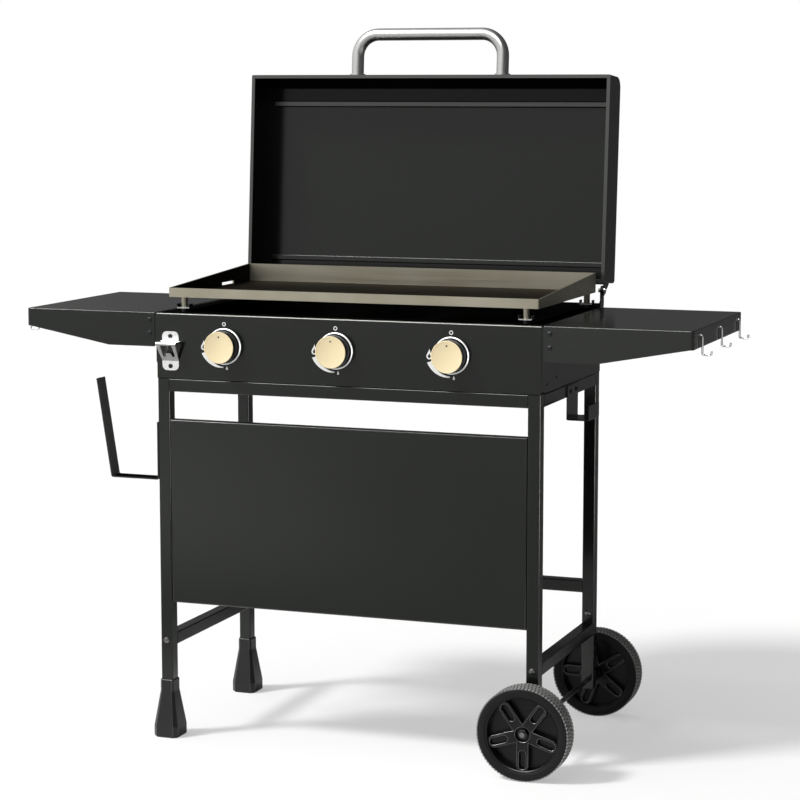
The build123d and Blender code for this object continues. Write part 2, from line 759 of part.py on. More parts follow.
gusset_bottom = shelf_top - shelf_gusset_height
end_bottom = shelf_top - shelf_end_height
shelf = block(shelf_inner, shelf_outer, 0, cart_depth, gusset_bottom, shelf_top)
corner_edges = shelf.edges().filter_by(Axis.Z).group_by(Axis.X)[-1]
shelf = fillet(corner_edges, shelf_corner)
shelf = fillet(shelf.faces().sort_by(Axis.Z)[-1].edges().group_by(Axis.X)[1:], shelf_bend)
shelf_hollow = block(shelf_inner - 1, shelf_outer - shelf_gauge, shelf_gauge, cart_depth - shelf_gauge,
                     gusset_bottom - 1, shelf_top - shelf_gauge)
shelf_hollow = fillet(shelf_hollow.edges().filter_by(Axis.Z).group_by(Axis.X)[-1], shelf_corner - shelf_gauge)
shelf -= shelf_hollow
gusset_knee = shelf_inner + shelf_gusset_flat
shelf -= plate_in_front_plane(((gusset_knee, gusset_bottom), (gusset_knee, gusset_bottom - 1),
                               (shelf_outer + 1, gusset_bottom - 1), (shelf_outer + 1, end_bottom),
                               (shelf_outer - shelf_corner, end_bottom)), -1, cart_depth + 1)
for hole in shelf_bolt_holes() + shelf_hook_holes():
    shelf -= hole
nodes["right_shelf"] = shelf
nodes["left_shelf"] = mirrored(shelf)

# Wire hooks through holes in the shelf ends
hook_z = shelf_top - hook_below_top
hook_down_x = shelf_outer + hook_wire + hook_hole_fit
right_hooks = []
for y in hook_places:
    hook_path = FilletPolyline((shelf_outer - hook_tail, y, hook_z), (hook_down_x + hook_wire, y, hook_z),
                               (hook_down_x + hook_wire, y, hook_z - hook_drop),
                               (hook_down_x + hook_reach, y, hook_z - hook_drop),
                               (hook_down_x + hook_reach, y, hook_z - hook_drop + hook_tip), radius=hook_bend)
    hook_section = Plane(origin=(shelf_outer - hook_tail, y, hook_z), z_dir=(1, 0, 0)) * Circle(hook_wire)
    right_hooks.append(sweep(hook_section, path=hook_path))
nodes["right_hooks"] = group(*right_hooks)
nodes["left_hooks"] = group(*[mirrored(hook) for hook in right_hooks])

# Shelf brackets on the side panels, with an ear inside each gusset
ear_front = shelf_gauge
ear_rear = cart_depth - shelf_gauge
bracket_face = half_panel + shelf_bracket_gauge
bracket_top = shelf_top - shelf_bracket_drop
ear_tip = shelf_bolt_x + shelf_ear_reach
ear_bottom = bracket_top - shelf_ear_height
bracket_bottom = bracket_top - shelf_bracket_height
shelf_bracket = block(half_panel, bracket_face, ear_front, ear_rear, bracket_bottom, bracket_top)
for y in (ear_front, ear_rear - shelf_bracket_gauge):
    shelf_bracket += block(half_panel, ear_tip, y, y + shelf_bracket_gauge, ear_bottom, bracket_top)
for hole in shelf_bolt_holes():
    shelf_bracket -= hole
nodes["shelf_brackets"] = group(shelf_bracket, mirrored(shelf_bracket))


# Two bolts hold each gusset to its ear
def shelf_bolt(face_y, way, z):
    tail = face_y + way * (shelf_gauge + shelf_bracket_gauge + shelf_bolt_tail)
    head = face_y - way * shelf_bolt_head
    bolt = rod(shelf_bolt_radius, (shelf_bolt_x, face_y, z), (shelf_bolt_x, tail, z))
    return bolt + rod(shelf_bolt_head_radius, (shelf_bolt_x, head, z), (shelf_bolt_x, face_y, z))


right_bolts = []
for z in shelf_bolt_heights:
    right_bolts.append(shelf_bolt(0, 1, z))
    right_bolts.append(shelf_bolt(cart_depth, -1, z))
nodes["shelf_bolts"] = group(*right_bolts, *[mirrored(bolt) for bolt in right_bolts])

# Flat bar on the left front leg: tab, arm and leaning upright
bar_knee_x = -half_cart - bar_reach
bar_path = ((-half_cart, bar_height + bar_tab), (-half_cart, bar_height), (bar_knee_x, bar_height),
            (bar_knee_x - bar_lean, bar_height + bar_upright))
nodes["left_bar_bracket"] = strip_along_y(bar_path, bar_gauge, bar_bend, 0, bar_width, Side.RIGHT)

# Hook plate on the right upper rail
hanger_bottom = leg_top - tube_size - hanger_drop
hanger_end = half_cart + hanger_reach
hanger_path = ((half_cart, leg_top - tube_corner), (half_cart, hanger_bottom), (hanger_end, hanger_bottom),
               (hanger_end, hanger_bottom + hanger_lip))
nodes["right_hook_bracket"] = strip_along_y(hanger_path, hanger_gauge, hanger_bend, hanger_start,
                                            hanger_start + hanger_width)

# Bottle opener: bent strip with a toothed window in its sloping face
opener_left = opener_centre - opener_width / 2
opener_right = opener_centre + opener_width / 2
opener_path = ((0, opener_top), (0, opener_ledge), (-opener_reach, opener_ledge), (0, opener_foot),
               (0, opener_bottom))
opener = strip_along_x(opener_path, opener_gauge, opener_bend, opener_left, opener_right, Side.RIGHT)
# Seen from the front the tabs are narrower than the ledge, with rounded ends
tab_left = opener_centre - opener_tab_width / 2
tab_right = opener_centre + opener_tab_width / 2
ledge_top = opener_ledge + opener_bend
ledge_bottom = opener_ledge - opener_bend
opener_outline = make_face(Polyline(
    (tab_left, opener_top), (tab_left, ledge_top), (opener_left, ledge_top), (opener_left, ledge_bottom),
    (tab_left, opener_foot), (tab_left, opener_bottom), (tab_right, opener_bottom), (tab_right, opener_foot),
    (opener_right, ledge_bottom), (opener_right, ledge_top), (tab_right, ledge_top), (tab_right, opener_top),
    close=True))
tab_corners = opener_outline.vertices().group_by(Axis.Y)[0] + opener_outline.vertices().group_by(Axis.Y)[-1]
opener_outline = fillet(tab_corners, opener_tab_corner)
opener &= extrude(front_plane(opener_gauge) * opener_outline, amount=opener_reach + 3 * opener_gauge)
window = block(opener_centre - opener_window_width / 2, opener_centre + opener_window_width / 2,
               -opener_reach - 5, -opener_bend - opener_gauge, opener_window_bottom, opener_window_top)
window -= block(opener_centre - opener_tooth_width / 2, opener_centre + opener_tooth_width / 2,
                -opener_reach - 6, 0, opener_window_bottom - 1, opener_window_bottom + opener_tooth_height)
window = fillet(window.edges().filter_by(Axis.Y), opener_window_corner)
nodes["bottle_opener"] = opener - window

# Gas manifold: closed pipe with an inlet pointing down at its right end
inlet_x = manifold_right - inlet_offset
inlet_bottom = manifold_height - inlet_drop


def on_manifold(x):
    return (x, manifold_centre_y, manifold_height)


manifold = rod(manifold_radius, on_manifold(manifold_left), on_manifold(manifold_right))
manifold += rod(inlet_radius, on_manifold(inlet_x), (inlet_x, manifold_centre_y, inlet_bottom))
collar_top = manifold_height - manifold_radius
manifold += rod(inlet_collar_radius, (inlet_x, manifold_centre_y, collar_top),
                (inlet_x, manifold_centre_y, collar_top - inlet_collar))
manifold -= rod(manifold_radius - manifold_wall, on_manifold(manifold_left + manifold_wall),
                on_manifold(manifold_right - manifold_wall))
manifold -= rod(inlet_bore, on_manifold(inlet_x), (inlet_x, manifold_centre_y, inlet_bottom - 1))
nodes["gas_manifold"] = manifold

# One valve, knob and burner behind each dial
valve_bodies = []
bezels = []
igniters = []
for name, x in zip(knob_names, knob_places):
    def on_dial(y):
        return (x, y, knob_height)

    body = block(x - valve_half_width, x + valve_half_width, sheet_gauge, valve_end,
                 knob_height - valve_half_height, knob_height + valve_half_height)
    body = fillet(body.edges().filter_by(Axis.Y), valve_corner)
    body += block(x - valve_half_width, x + valve_half_width, manifold_centre_y - manifold_radius,
                  manifold_centre_y + manifold_radius, manifold_height, knob_height)
    body += rod(nozzle_radius, on_dial(valve_end - 1), on_dial(valve_end + nozzle_length))
    body -= rod(manifold_radius, on_manifold(x - 2 * valve_half_width), on_manifold(x + 2 * valve_half_width))
    body -= rod(plug_radius + running_fit, on_dial(0), on_dial(plug_end + end_play))
    valve_bodies.append(body)

    stem_tip = -knob_front + knob_bore_depth / 2
    hole_flat = knob_height + stem_flat + running_fit
    stem = rod(stem_radius, on_dial(stem_tip), on_dial(stem_end))
    stem -= block(x - 10, x + 10, -knob_front, stem_end + 1, knob_height + stem_flat, knob_height + 10)
    plug_hole = rod(stem_radius + running_fit, on_dial(plug_start - 1), on_dial(plug_hole_end))
    plug_hole -= block(x - 10, x + 10, 0, plug_end, hole_flat, knob_height + 10)
    nodes[name + "_valve_plug"] = rod(plug_radius, on_dial(plug_start), on_dial(plug_end)) - plug_hole
    nodes[name + "_valve_stem"] = stem

    knob = rod(knob_radius, on_dial(-knob_front), on_dial(-knob_panel_gap))
    knob = fillet(knob.edges().filter_by(GeomType.CIRCLE).sort_by(Axis.Y)[0], knob_edge)
    knob_face = -knob_front + knob_face_dish
    knob -= rod(knob_radius - knob_face_margin, on_dial(-knob_front - 1), on_dial(knob_face))
    knob -= tube(knob_radius - knob_wall, knob_boss_radius, on_dial(knob_face + knob_wall), on_dial(0))
    knob_bore = rod(stem_radius + running_fit, on_dial(stem_tip - end_play), on_dial(0))
    knob_bore -= block(x - 10, x + 10, -knob_front, 1, hole_flat, knob_height + 10)
    nodes[name + "_knob"] = knob - knob_bore

    bezel = tube(bezel_radius, bezel_radius - bezel_width, on_dial(-bezel_thickness), on_dial(0))
    front_edges = bezel.edges().filter_by(GeomType.CIRCLE).group_by(Axis.Y)[0]
    bezels.append(fillet(front_edges, bezel_edge))

    burner = rod(burner_radius, on_dial(burner_start), on_dial(burner_end))
    burner -= rod(burner_radius - burner_wall, on_dial(burner_start - 1), on_dial(burner_end - burner_wall))
    for port in range(burner_port_count):
        port_y = burner_port_first + port * burner_port_pitch
        burner -= block(x - 2 * burner_radius, x + 2 * burner_radius, port_y, port_y + burner_port_length,
                        knob_height - burner_port_width / 2, knob_height + burner_port_width / 2)
    burner += block(x - burner_tab_width / 2, x + burner_tab_width / 2, burner_end - burner_wall,
                    rear_panel_inner, knob_height - burner_tab_gauge / 2, knob_height + burner_tab_gauge / 2)
    nodes[name + "_burner"] = burner

    rod_x = x + igniter_side
    rod_z = knob_height + igniter_rise
    igniter_end = igniter_start + igniter_length
    wire_end = igniter_end + igniter_wire_length
    igniter = rod(igniter_radius, (rod_x, igniter_start, rod_z), (rod_x, igniter_end, rod_z))
    igniter += rod(igniter_wire, (rod_x, igniter_end - 1, rod_z), (rod_x, wire_end, rod_z))
    igniter += block(x, rod_x, igniter_start + igniter_clip_length, igniter_start + 2 * igniter_clip_length,
                     rod_z - igniter_clip / 2, rod_z + igniter_clip / 2)
    igniter -= rod(burner_radius, on_dial(0), on_dial(cart_depth))
    igniters.append(igniter.solids().sort_by(SortBy.VOLUME)[-1])

nodes["valve_bodies"] = group(*valve_bodies)
nodes["knob_bezels"] = group(*bezels)
nodes["igniter_electrodes"] = group(*igniters)

# Centre the whole in Y and write one file per piece
boxes = [node.bounding_box() for node in nodes.values()]
middle_y = (min(box.min.Y for box in boxes) + max(box.max.Y for box in boxes)) / 2
os.makedirs("parts", exist_ok=True)
for name, node in nodes.items():
    placed = Pos(0, -middle_y, 0) * node
    solids = placed.solids()
    export_step(solids[0] if len(solids) == 1 else Compound(children=list(solids)), "parts/" + name + ".step")
print("pieces", len(nodes), "moved in Y by", round(-middle_y, 4))
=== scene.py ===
import json
import math
import bmesh
import bpy
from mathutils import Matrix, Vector


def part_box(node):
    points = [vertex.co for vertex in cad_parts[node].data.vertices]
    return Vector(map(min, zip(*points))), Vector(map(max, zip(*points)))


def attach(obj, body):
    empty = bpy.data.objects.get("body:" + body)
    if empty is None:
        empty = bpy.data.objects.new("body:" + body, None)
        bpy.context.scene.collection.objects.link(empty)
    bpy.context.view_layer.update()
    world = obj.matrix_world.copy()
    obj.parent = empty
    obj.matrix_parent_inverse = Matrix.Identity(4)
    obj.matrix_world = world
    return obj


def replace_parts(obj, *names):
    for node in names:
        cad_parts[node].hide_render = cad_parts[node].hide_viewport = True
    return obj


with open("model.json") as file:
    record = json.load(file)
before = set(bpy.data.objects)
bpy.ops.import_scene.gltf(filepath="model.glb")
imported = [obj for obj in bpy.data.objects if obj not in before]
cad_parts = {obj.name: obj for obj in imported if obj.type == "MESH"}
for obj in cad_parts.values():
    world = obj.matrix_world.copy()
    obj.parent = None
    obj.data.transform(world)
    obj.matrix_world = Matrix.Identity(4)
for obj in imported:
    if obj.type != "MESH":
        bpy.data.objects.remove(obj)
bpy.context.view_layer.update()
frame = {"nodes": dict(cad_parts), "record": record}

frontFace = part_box("control_panel")[0][1]  # the front of the legs lies in this plane
bodyOfNode = {}
for body, names in frame["record"]["behaviour"]["bodies"].items():
    for nodeName in names:
        bodyOfNode[nodeName] = body
print("stage: frame loaded")


# a place given in millimetres from the middle, the front face and the floor
def place(x, y, z):
    return Vector((x / 1000, frontFace + y / 1000, z / 1000))


# the low and the high corner of a CAD piece, in the same millimetres
def extent(nodeName):
    return [(1000 * x, 1000 * (y - frontFace), 1000 * z) for x, y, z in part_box(nodeName)]


def middle(low, high, axis):
    return (low[axis] + high[axis]) / 2


def link(item):
    bpy.context.scene.collection.objects.link(item)


def newPiece(name, mesh):
    piece = bpy.data.objects.new(name, mesh)
    link(piece)
    return piece


# a carrier's mesh after its modifiers, without the carrier
def plainMesh(carrier, name):
    depsgraph = bpy.context.evaluated_depsgraph_get()
    mesh = bpy.data.meshes.new_from_object(carrier.evaluated_get(depsgraph))
    mesh.name = name
    bpy.data.objects.remove(carrier)
    return mesh


# puts a drawn piece in the place of a CAD node
def standIn(piece, nodeName):
    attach(piece, bodyOfNode[nodeName])
    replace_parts(piece, nodeName)


# an output of a node, which can be reckoned with like a number
class Wire:
    def __init__(self, graph, socket):
        self.graph = graph
        self.socket = socket

    def __add__(self, other):
        return self.graph.sums("ADD", self, other)

    def __sub__(self, other):
        return self.graph.sums("SUBTRACT", self, other)

    def __rsub__(self, other):
        return self.graph.sums("SUBTRACT", other, self)

    def __mul__(self, other):
        return self.graph.sums("MULTIPLY", self, other)

    def __truediv__(self, other):
        return self.graph.sums("DIVIDE", self, other)

    def __rtruediv__(self, other):
        return self.graph.sums("DIVIDE", other, self)

    def __gt__(self, other):
        return self.graph.sums("GREATER_THAN", self, other)


class Graph:
    def __init__(self, tree):
        self.tree = tree

    def join(self, value, socket):
        if isinstance(value, Wire):
            self.tree.links.new(value.socket, socket)
        else:
            socket.default_value = value

    # settings are put on the node before its sockets are filled
    def node(self, kind, settings=None, inputs=None, output=0):
        made = self.tree.nodes.new(kind)
        for setting, value in (settings or {}).items():
            setattr(made, setting, value)
        for socketName, value in (inputs or {}).items():
            self.join(value, made.inputs[socketName])
        return Wire(self, made.outputs[output])

    def sums(self, operation, first, second):
        return self.node("ShaderNodeMath", {"operation": operation}, {0: first, 1: second})

    def part(self, vector, axis):
        return self.node("ShaderNodeSeparateXYZ", None, {"Vector": vector}, axis)

    def vector(self, parts):
        return self.node("ShaderNodeCombineXYZ", None, parts)

    # 1 for what the camera sees itself, 0 for what lights the object or is mirrored in it
    def seen(self):
        return self.node("ShaderNodeLightPath", None, None, "Is Camera Ray")


class Finish(Graph):
    def __init__(self, name, constants):
        self.material = bpy.data.materials.new(name)
        self.material.use_nodes = True
        super().__init__(self.material.node_tree)
        self.shader = self.tree.nodes["Principled BSDF"]
        for socketName, value in constants.items():
            self.shader.inputs[socketName].default_value = value
        self.where = self.node("ShaderNodeTexCoord", output="Object")

    def feed(self, socketName, value):
        self.join(value, self.shader.inputs[socketName])

    def noise(self, scale, detail=2.0, stretch=(1.0, 1.0, 1.0)):
        factors = {0: self.where, 1: stretch}
        stretched = self.node("ShaderNodeVectorMath", {"operation": "MULTIPLY"}, factors)
        values = {"Vector": stretched, "Scale": scale, "Detail": detail}
        return self.node("ShaderNodeTexNoise", None, values)

    # a share that rises from 0 to 1 between two values
    def ramp(self, value, low, high):
        values = {"Value": value, "From Min": low, "From Max": high}
        return self.node("ShaderNodeMapRange", {"clamp": True}, values)

    def mix(self, share, first, second):
        return self.node("ShaderNodeMix", {"data_type": "RGBA"}, {0: share, 6: first, 7: second}, 2)

    def colour(self, share, first, second):
        self.feed("Base Color", self.mix(share, first, second))

    # roughness that varies about its usual value, which holds where the noise is at its level
    def roughen(self, noise, values, level=0.5):
        self.feed("Roughness", (noise - level) * values["roughSpread"] + values["roughness"])

    def bump(self, height, strength, distance):
        values = {"Height": height, "Strength": strength, "Distance": distance}
        self.feed("Normal", self.node("ShaderNodeBump", None, values))


class Pattern(Graph):
    def __init__(self, name, kinds):
        self.group = bpy.data.node_groups.new(name, "GeometryNodeTree")
        super().__init__(self.group)
        sockets = self.group.interface
        sockets.new_socket("Geometry", in_out="OUTPUT", socket_type="NodeSocketGeometry")
        entry = self.tree.nodes.new("NodeGroupInput")
        self.keys = {}
        self.inputs = {}
        for inputName, kind in kinds.items():
            item = sockets.new_socket(inputName, in_out="INPUT", socket_type="NodeSocket" + kind)
            self.keys[inputName] = item.identifier
            self.inputs[inputName] = Wire(self, entry.outputs[inputName])

    # ends the pattern with real geometry in one material
    def close(self, shape):
        real = self.node("GeometryNodeRealizeInstances", None, {"Geometry": shape})
        values = {"Geometry": real, "Material": self.inputs["Material"]}
        painted = self.node("GeometryNodeSetMaterial", None, values)
        end = self.tree.nodes.new("NodeGroupOutput")
        self.join(painted, end.inputs["Geometry"])

    # runs the pattern on a mesh and returns a plain object
    def run(self, pieceName, mesh, values):
        carrier = newPiece(pieceName + "_seed", mesh)
        modifier = carrier.modifiers.new("pattern", "NODES")
        modifier.node_group = self.group
        for inputName, value in values.items():
            modifier[self.keys[inputName]] = value
        return newPiece(pieceName, plainMesh(carrier, pieceName))


def toned(colour, factor):
    return tuple(factor * part for part in colour[:3]) + (1,)


# powder coat on the cart, panels, shelves and hood
powderCoat = {"colour": (0.0046, 0.0056, 0.0047, 1), "pale": (0.0062, 0.0074, 0.0063, 1),
              "gloss": 0.44, "tint": (0.97, 1.0, 0.96, 1), "roughness": 0.18, "roughSpread": 0.04,
              "cloudScale": 5.0, "peelScale": 620.0, "peelStrength": 0.05, "peelDepth": 0.0003}


def makePowderCoat(name, **changes):
    values = {**powderCoat, **changes}
    finish = Finish(name, {"Specular IOR Level": values["gloss"], "Specular Tint": values["tint"]})
    cloud = finish.noise(values["cloudScale"])
    peel = finish.noise(values["peelScale"], detail=1.0)
    finish.colour(cloud, values["colour"], values["pale"])
    finish.roughen(cloud, values)
    finish.bump(peel, values["peelStrength"], values["peelDepth"])
    return finish.material


coat = makePowderCoat("powder_coat")
# copies of the coat with other gloss, so that the hood reads darker and the cover and right shelf lighter:
# painted shade and painted sheen
coatHood = makePowderCoat("powder_coat_hood", gloss=0.37)
coatCover = makePowderCoat("powder_coat_cover", gloss=0.49)
coatShelf = makePowderCoat("powder_coat_shelf", gloss=0.60)
# less gloss, so that the band above the hood's upper stiffener reads darker: painted shade
coatShadedBand = makePowderCoat("powder_coat_shaded_band", gloss=0.165)
# the coat at full gloss, laid on edges, bends and rims as painted highlight
coatSheen = makePowderCoat("powder_coat_highlight", gloss=1.0, roughness=0.30)
# a paler coat on the bar bracket's inner face: a painted reflection
coatPaintedReflection = makePowderCoat("powder_coat_painted_reflection", colour=(0.066, 0.066, 0.064, 1),
                          pale=(0.080, 0.080, 0.077, 1), roughness=0.45)

# bare rolled steel of the hot plate, with the oil's uneven tan
plateSteel = {"pale": (0.42, 0.393, 0.312, 1), "tan": (0.338, 0.311, 0.236, 1), "metal": 1.0,
              "roughness": 0.36, "roughSpread": 0.16, "tanScale": 7.0, "tanRange": (0.32, 0.68),
              "streakScale": 42.0, "streakStretch": (0.12, 6.0, 6.0), "streakStrength": 0.12,
              "streakDepth": 0.0002}


def makePlateSteel(values):
    finish = Finish("plate_steel", {"Metallic": values["metal"]})
    patches = finish.noise(values["tanScale"], detail=4.0)
    streaks = finish.noise(values["streakScale"], detail=3.0, stretch=values["streakStretch"])
    finish.colour(finish.ramp(patches, *values["tanRange"]), values["tan"], values["pale"])
    finish.roughen(streaks, values)
    finish.bump(streaks, values["streakStrength"], values["streakDepth"])
    return finish.material


hotSteel = makePlateSteel(plateSteel)

# seasoned cooking face, nearly black with brown clouds; the plate's inner side walls take it too, as painted
# shade
seasoning = {"black": (0.0045, 0.0035, 0.0026, 1), "brown": (0.0120, 0.0085, 0.0055, 1),
             "gloss": 0.015, "roughness": 0.58, "roughSpread": 0.2, "cloudScale": 9.0,
             "brownRange": (0.35, 0.7), "pitScale": 260.0, "pitStrength": 0.10, "pitDepth": 0.0002}


def makeDarkMatt(name, **changes):
    values = {**seasoning, **changes}
    finish = Finish(name, {"Specular IOR Level": values["gloss"]})
    clouds = finish.noise(values["cloudScale"], detail=5.0)
    pits = finish.noise(values["pitScale"], detail=3.0)
    finish.colour(finish.ramp(clouds, *values["brownRange"]), values["black"], values["brown"])
    finish.roughen(clouds, values)
    finish.bump(pits, values["pitStrength"], values["pitDepth"])
    return finish.material


seasonedAndShaded = makeDarkMatt("seasoned_steel_and_painted_shade")
# the same finish nearly black and without gloss: painted shade on the tops under the plate, the bar
# bracket's top, the hood's inner bend and the stiffeners' undersides
paintedShadeBlack = makeDarkMatt("painted_shade_black", black=(0.0022, 0.0022, 0.0021, 1),
                          brown=(0.0035, 0.0034, 0.0032, 1), gloss=0.0)

# brushed stainless of the handle
stainless = {"colour": (0.52, 0.516, 0.512, 1), "shade": (0.47, 0.466, 0.462, 1), "metal": 1.0,
             "roughness": 0.28, "roughSpread": 0.03, "grainScale": 60.0,
             "grainStretch": (0.25, 9.0, 9.0), "grainStrength": 0.02, "grainDepth": 0.00005}


def makeStainless(values):
    finish = Finish("brushed_stainless", {"Metallic": values["metal"]})
    grain = finish.noise(values["grainScale"], detail=3.0, stretch=values["grainStretch"])
    finish.colour(grain, values["shade"], values["colour"])
    finish.roughen(grain, values)
    finish.bump(grain, values["grainStrength"], values["grainDepth"])
    return finish.material


brushed = makeStainless(stainless)

# plated or oxidised metal of wire, rings, pins and bolts, with light handling marks
plating = {"metal": 1.0, "roughSpread": 0.10, "markScale": 180.0, "markRange": (0.45, 0.75),
           "markLevel": 0.4, "markTone": 0.82, "markStrength": 0.05, "markDepth": 0.0001}


def makePlating(name, **changes):
    values = {**plating, **changes}
    finish = Finish(name, {"Metallic": values["metal"]})
    marks = finish.noise(values["markScale"], detail=3.0)
    dulled = toned(values["colour"], values["markTone"])
    finish.colour(finish.ramp(marks, *values["markRange"]), values["colour"], dulled)
    finish.roughen(marks, values, values["markLevel"])
    finish.bump(marks, values["markStrength"], values["markDepth"])
    return finish.material


chrome = makePlating("bright_chrome", colour=(0.86, 0.86, 0.85, 1), roughness=0.10)
zinc = makePlating("zinc_steel", colour=(0.58, 0.59, 0.60, 1), roughness=0.34)
nickel = makePlating("satin_nickel", colour=(0.93, 0.93, 0.92, 1), roughness=0.30)
ringBright = makePlating("satin_ring", colour=(0.97, 0.97, 0.96, 1), roughness=0.48, roughSpread=0.05)
blackBolt = makePlating("black_oxide", colour=(0.045, 0.045, 0.047, 1), roughness=0.28)
steelBolt = makePlating("bolt_steel", colour=(0.18, 0.18, 0.18, 1), roughness=0.22)
# a darker steel for the bottle opener's downward faces: painted shade
paintedShadeSteel = makePlating("painted_shade_steel", colour=(0.33, 0.33, 0.32, 1), roughness=0.34)
brass = makePlating("valve_brass", colour=(0.62, 0.46, 0.20, 1), roughness=0.30)

# moulded plastics, rubber, ceramic and printed paint
moulded = {"gloss": 0.35, "roughSpread": 0.16, "wear": 0.35, "dustScale": 14.0,
           "dustRange": (0.40, 0.72), "grainScale": 900.0, "grain": 0.10, "grainDepth": 0.0002}


def makeMoulded(name, **changes):
    values = {**moulded, **changes}
    finish = Finish(name, {"Specular IOR Level": values["gloss"]})
    speckle = finish.noise(values["grainScale"])
    dust = finish.noise(values["dustScale"], detail=4.0)
    worn = toned(values["colour"], 1 + values["wear"])
    finish.colour(finish.ramp(dust, *values["dustRange"]), values["colour"], worn)
    finish.roughen(dust, values)
    finish.bump(speckle, values["grain"], values["grainDepth"])
    return finish.material


ceramic = makeMoulded("igniter_ceramic", colour=(0.72, 0.70, 0.64, 1), roughness=0.35)
plastic = makeMoulded("black_plastic", colour=(0.0075, 0.0078, 0.0075, 1), roughness=0.36, grain=0.15)
# lighter and glossier plastic on the feet's rounded edges: painted highlight
plasticSheen = makeMoulded("black_plastic_edge_highlight", colour=(0.020, 0.020, 0.020, 1), roughness=0.30,
                           grain=0.05, gloss=0.8)
wheelPlastic = makeMoulded("wheel_plastic", colour=(0.0035, 0.0036, 0.0035, 1), roughness=0.30,
                           gloss=0.22)
# lighter and glossier plastic on the wheels' rounded bands: painted highlight
wheelSheen = makeMoulded("wheel_plastic_edge_highlight", colour=(0.012, 0.012, 0.012, 1), roughness=0.24,
                         grain=0.05, gloss=0.95)
rubber = makeMoulded("tyre_rubber", colour=(0.0075, 0.0077, 0.0075, 1), roughness=0.50, grain=0.20,
                     gloss=0.14)
treadRubber = makeMoulded("tread_rubber", colour=(0.205, 0.205, 0.20, 1), roughness=0.62, grain=0.30)
knobCream = makeMoulded("knob_cream", colour=(0.90, 0.75, 0.47, 1), roughness=0.46, wear=0.02,
                        roughSpread=0.04)
knobDark = makeMoulded("knob_dark", colour=(0.0035, 0.0030, 0.0028, 1), roughness=0.32, gloss=0.14)
printWhite = makeMoulded("printed_white", colour=(0.80, 0.80, 0.78, 1), roughness=0.48, grain=0.05,
                         wear=0.05)

# cups under the plate's feet: a painted highlight as a bright edge on the floor plate, and the post and lips
# painted dark as shade
cupLook = {"bright": (0.72, 0.72, 0.71, 1), "dark": (0.006, 0.006, 0.006, 1), "roughness": 0.32,
           "highlightFrom": -0.0093, "highlightTo": -0.0063, "pitScale": 400.0, "pitStrength": 0.05,
           "pitDepth": 0.0001}


def makeCupHighlightAndShade(values):
    finish = Finish("cup_painted_highlight_and_shade", {"Roughness": values["roughness"]})
    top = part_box("plate_foot_cups")[1][2]
    height = finish.part(finish.where, "Z")
    share = (height > top + values["highlightFrom"]) - (height > top + values["highlightTo"])
    finish.colour(share, values["dark"], values["bright"])
    finish.feed("Metallic", share)
    finish.bump(finish.noise(values["pitScale"]), values["pitStrength"], values["pitDepth"])
    return finish.material


cupHighlightAndShade = makeCupHighlightAndShade(cupLook)
print("stage: finishes made")


# angles between faces, and the weight of large faces in the shading of bends
shading = {"sharpAngle": math.radians(46), "flatAngle": math.radians(0.4), "weld": 1e-6,
           "bevelAngle": math.radians(50), "drawnSharpAngle": math.radians(40), "weight": 80}


def markSharp(bm, sharpAngle):
    for line in bm.edges:
        line.smooth = len(line.link_faces) == 2 and line.calc_face_angle(0.0) < sharpAngle


# rounds edges, and gives the new faces the second material
def bevel(bm, lines, width, steps):
    bmesh.ops.bevel(bm, geom=lines, offset=width, offset_type="OFFSET", segments=steps, profile=0.5,
                    affect="EDGES", material=1)


def isCorner(line):
    outwards = len(line.link_faces) == 2 and line.is_convex
    return outwards and line.calc_face_angle(0.0) > shading["bevelAngle"]


# a copy of a CAD piece with its triangles joined, its flats merged and its bends shaded round
def dress(nodeName, material, edge=None, cutHeight=None):
    bm = bmesh.new()
    bm.from_mesh(frame["nodes"][nodeName].data)
    bmesh.ops.remove_doubles(bm, verts=bm.verts, dist=shading["weld"])
    bmesh.ops.dissolve_limit(bm, angle_limit=shading["flatAngle"], verts=bm.verts, edges=bm.edges)
    if cutHeight:
        everything = list(bm.verts) + list(bm.edges) + list(bm.faces)
        bmesh.ops.bisect_plane(bm, geom=everything, plane_co=(0, 0, cutHeight), plane_no=(0, 0, 1))
    for face in bm.faces:
        face.material_index = 0
    if edge:
        bevel(bm, [line for line in bm.edges if isCorner(line)], edge["width"], edge["steps"])
    for face in bm.faces:
        face.smooth = True
    markSharp(bm, shading["sharpAngle"])
    mesh = bpy.data.meshes.new(nodeName + "_skin")
    bm.to_mesh(mesh)
    bm.free()
    carrier = newPiece(nodeName + "_carrier", mesh)
    weighted = carrier.modifiers.new("normals", "WEIGHTED_NORMAL")
    weighted.keep_sharp = True
    weighted.weight = shading["weight"]
    skin = plainMesh(carrier, nodeName + "_skin")
    skin.materials.clear()
    skin.materials.append(material)
    skin.materials.append(edge["material"] if edge else material)
    piece = newPiece(nodeName + "_skin", skin)
    standIn(piece, nodeName)
    return piece


dressed = {
    coat: ["front_left_leg", "front_right_leg", "rear_left_leg", "rear_right_leg", "upper_front_rail",
           "upper_rear_rail", "upper_side_rails", "lower_side_rails", "rear_cross_bar", "control_panel",
           "left_side_panel", "right_side_panel", "rear_panel", "hood_stiffeners", "hinge_arms",
           "hinge_brackets", "left_shelf", "shelf_brackets", "left_bar_bracket", "right_hook_bracket"],
    coatHood: ["hood_shell"],
    coatCover: ["front_cover_panel"],
    coatShelf: ["right_shelf"],
    zinc: ["burner_tray"],
    cupHighlightAndShade: ["plate_foot_cups"],
    blackBolt: ["axle_spacers", "axle_nuts"],
    steelBolt: ["wheel_axle"],
    brushed: ["hood_handle", "handle_flanges"],
    nickel: ["bottle_opener"],
    chrome: ["left_hooks", "right_hooks", "hinge_pins"],
    hotSteel: ["griddle_plate", "plate_feet"],
}
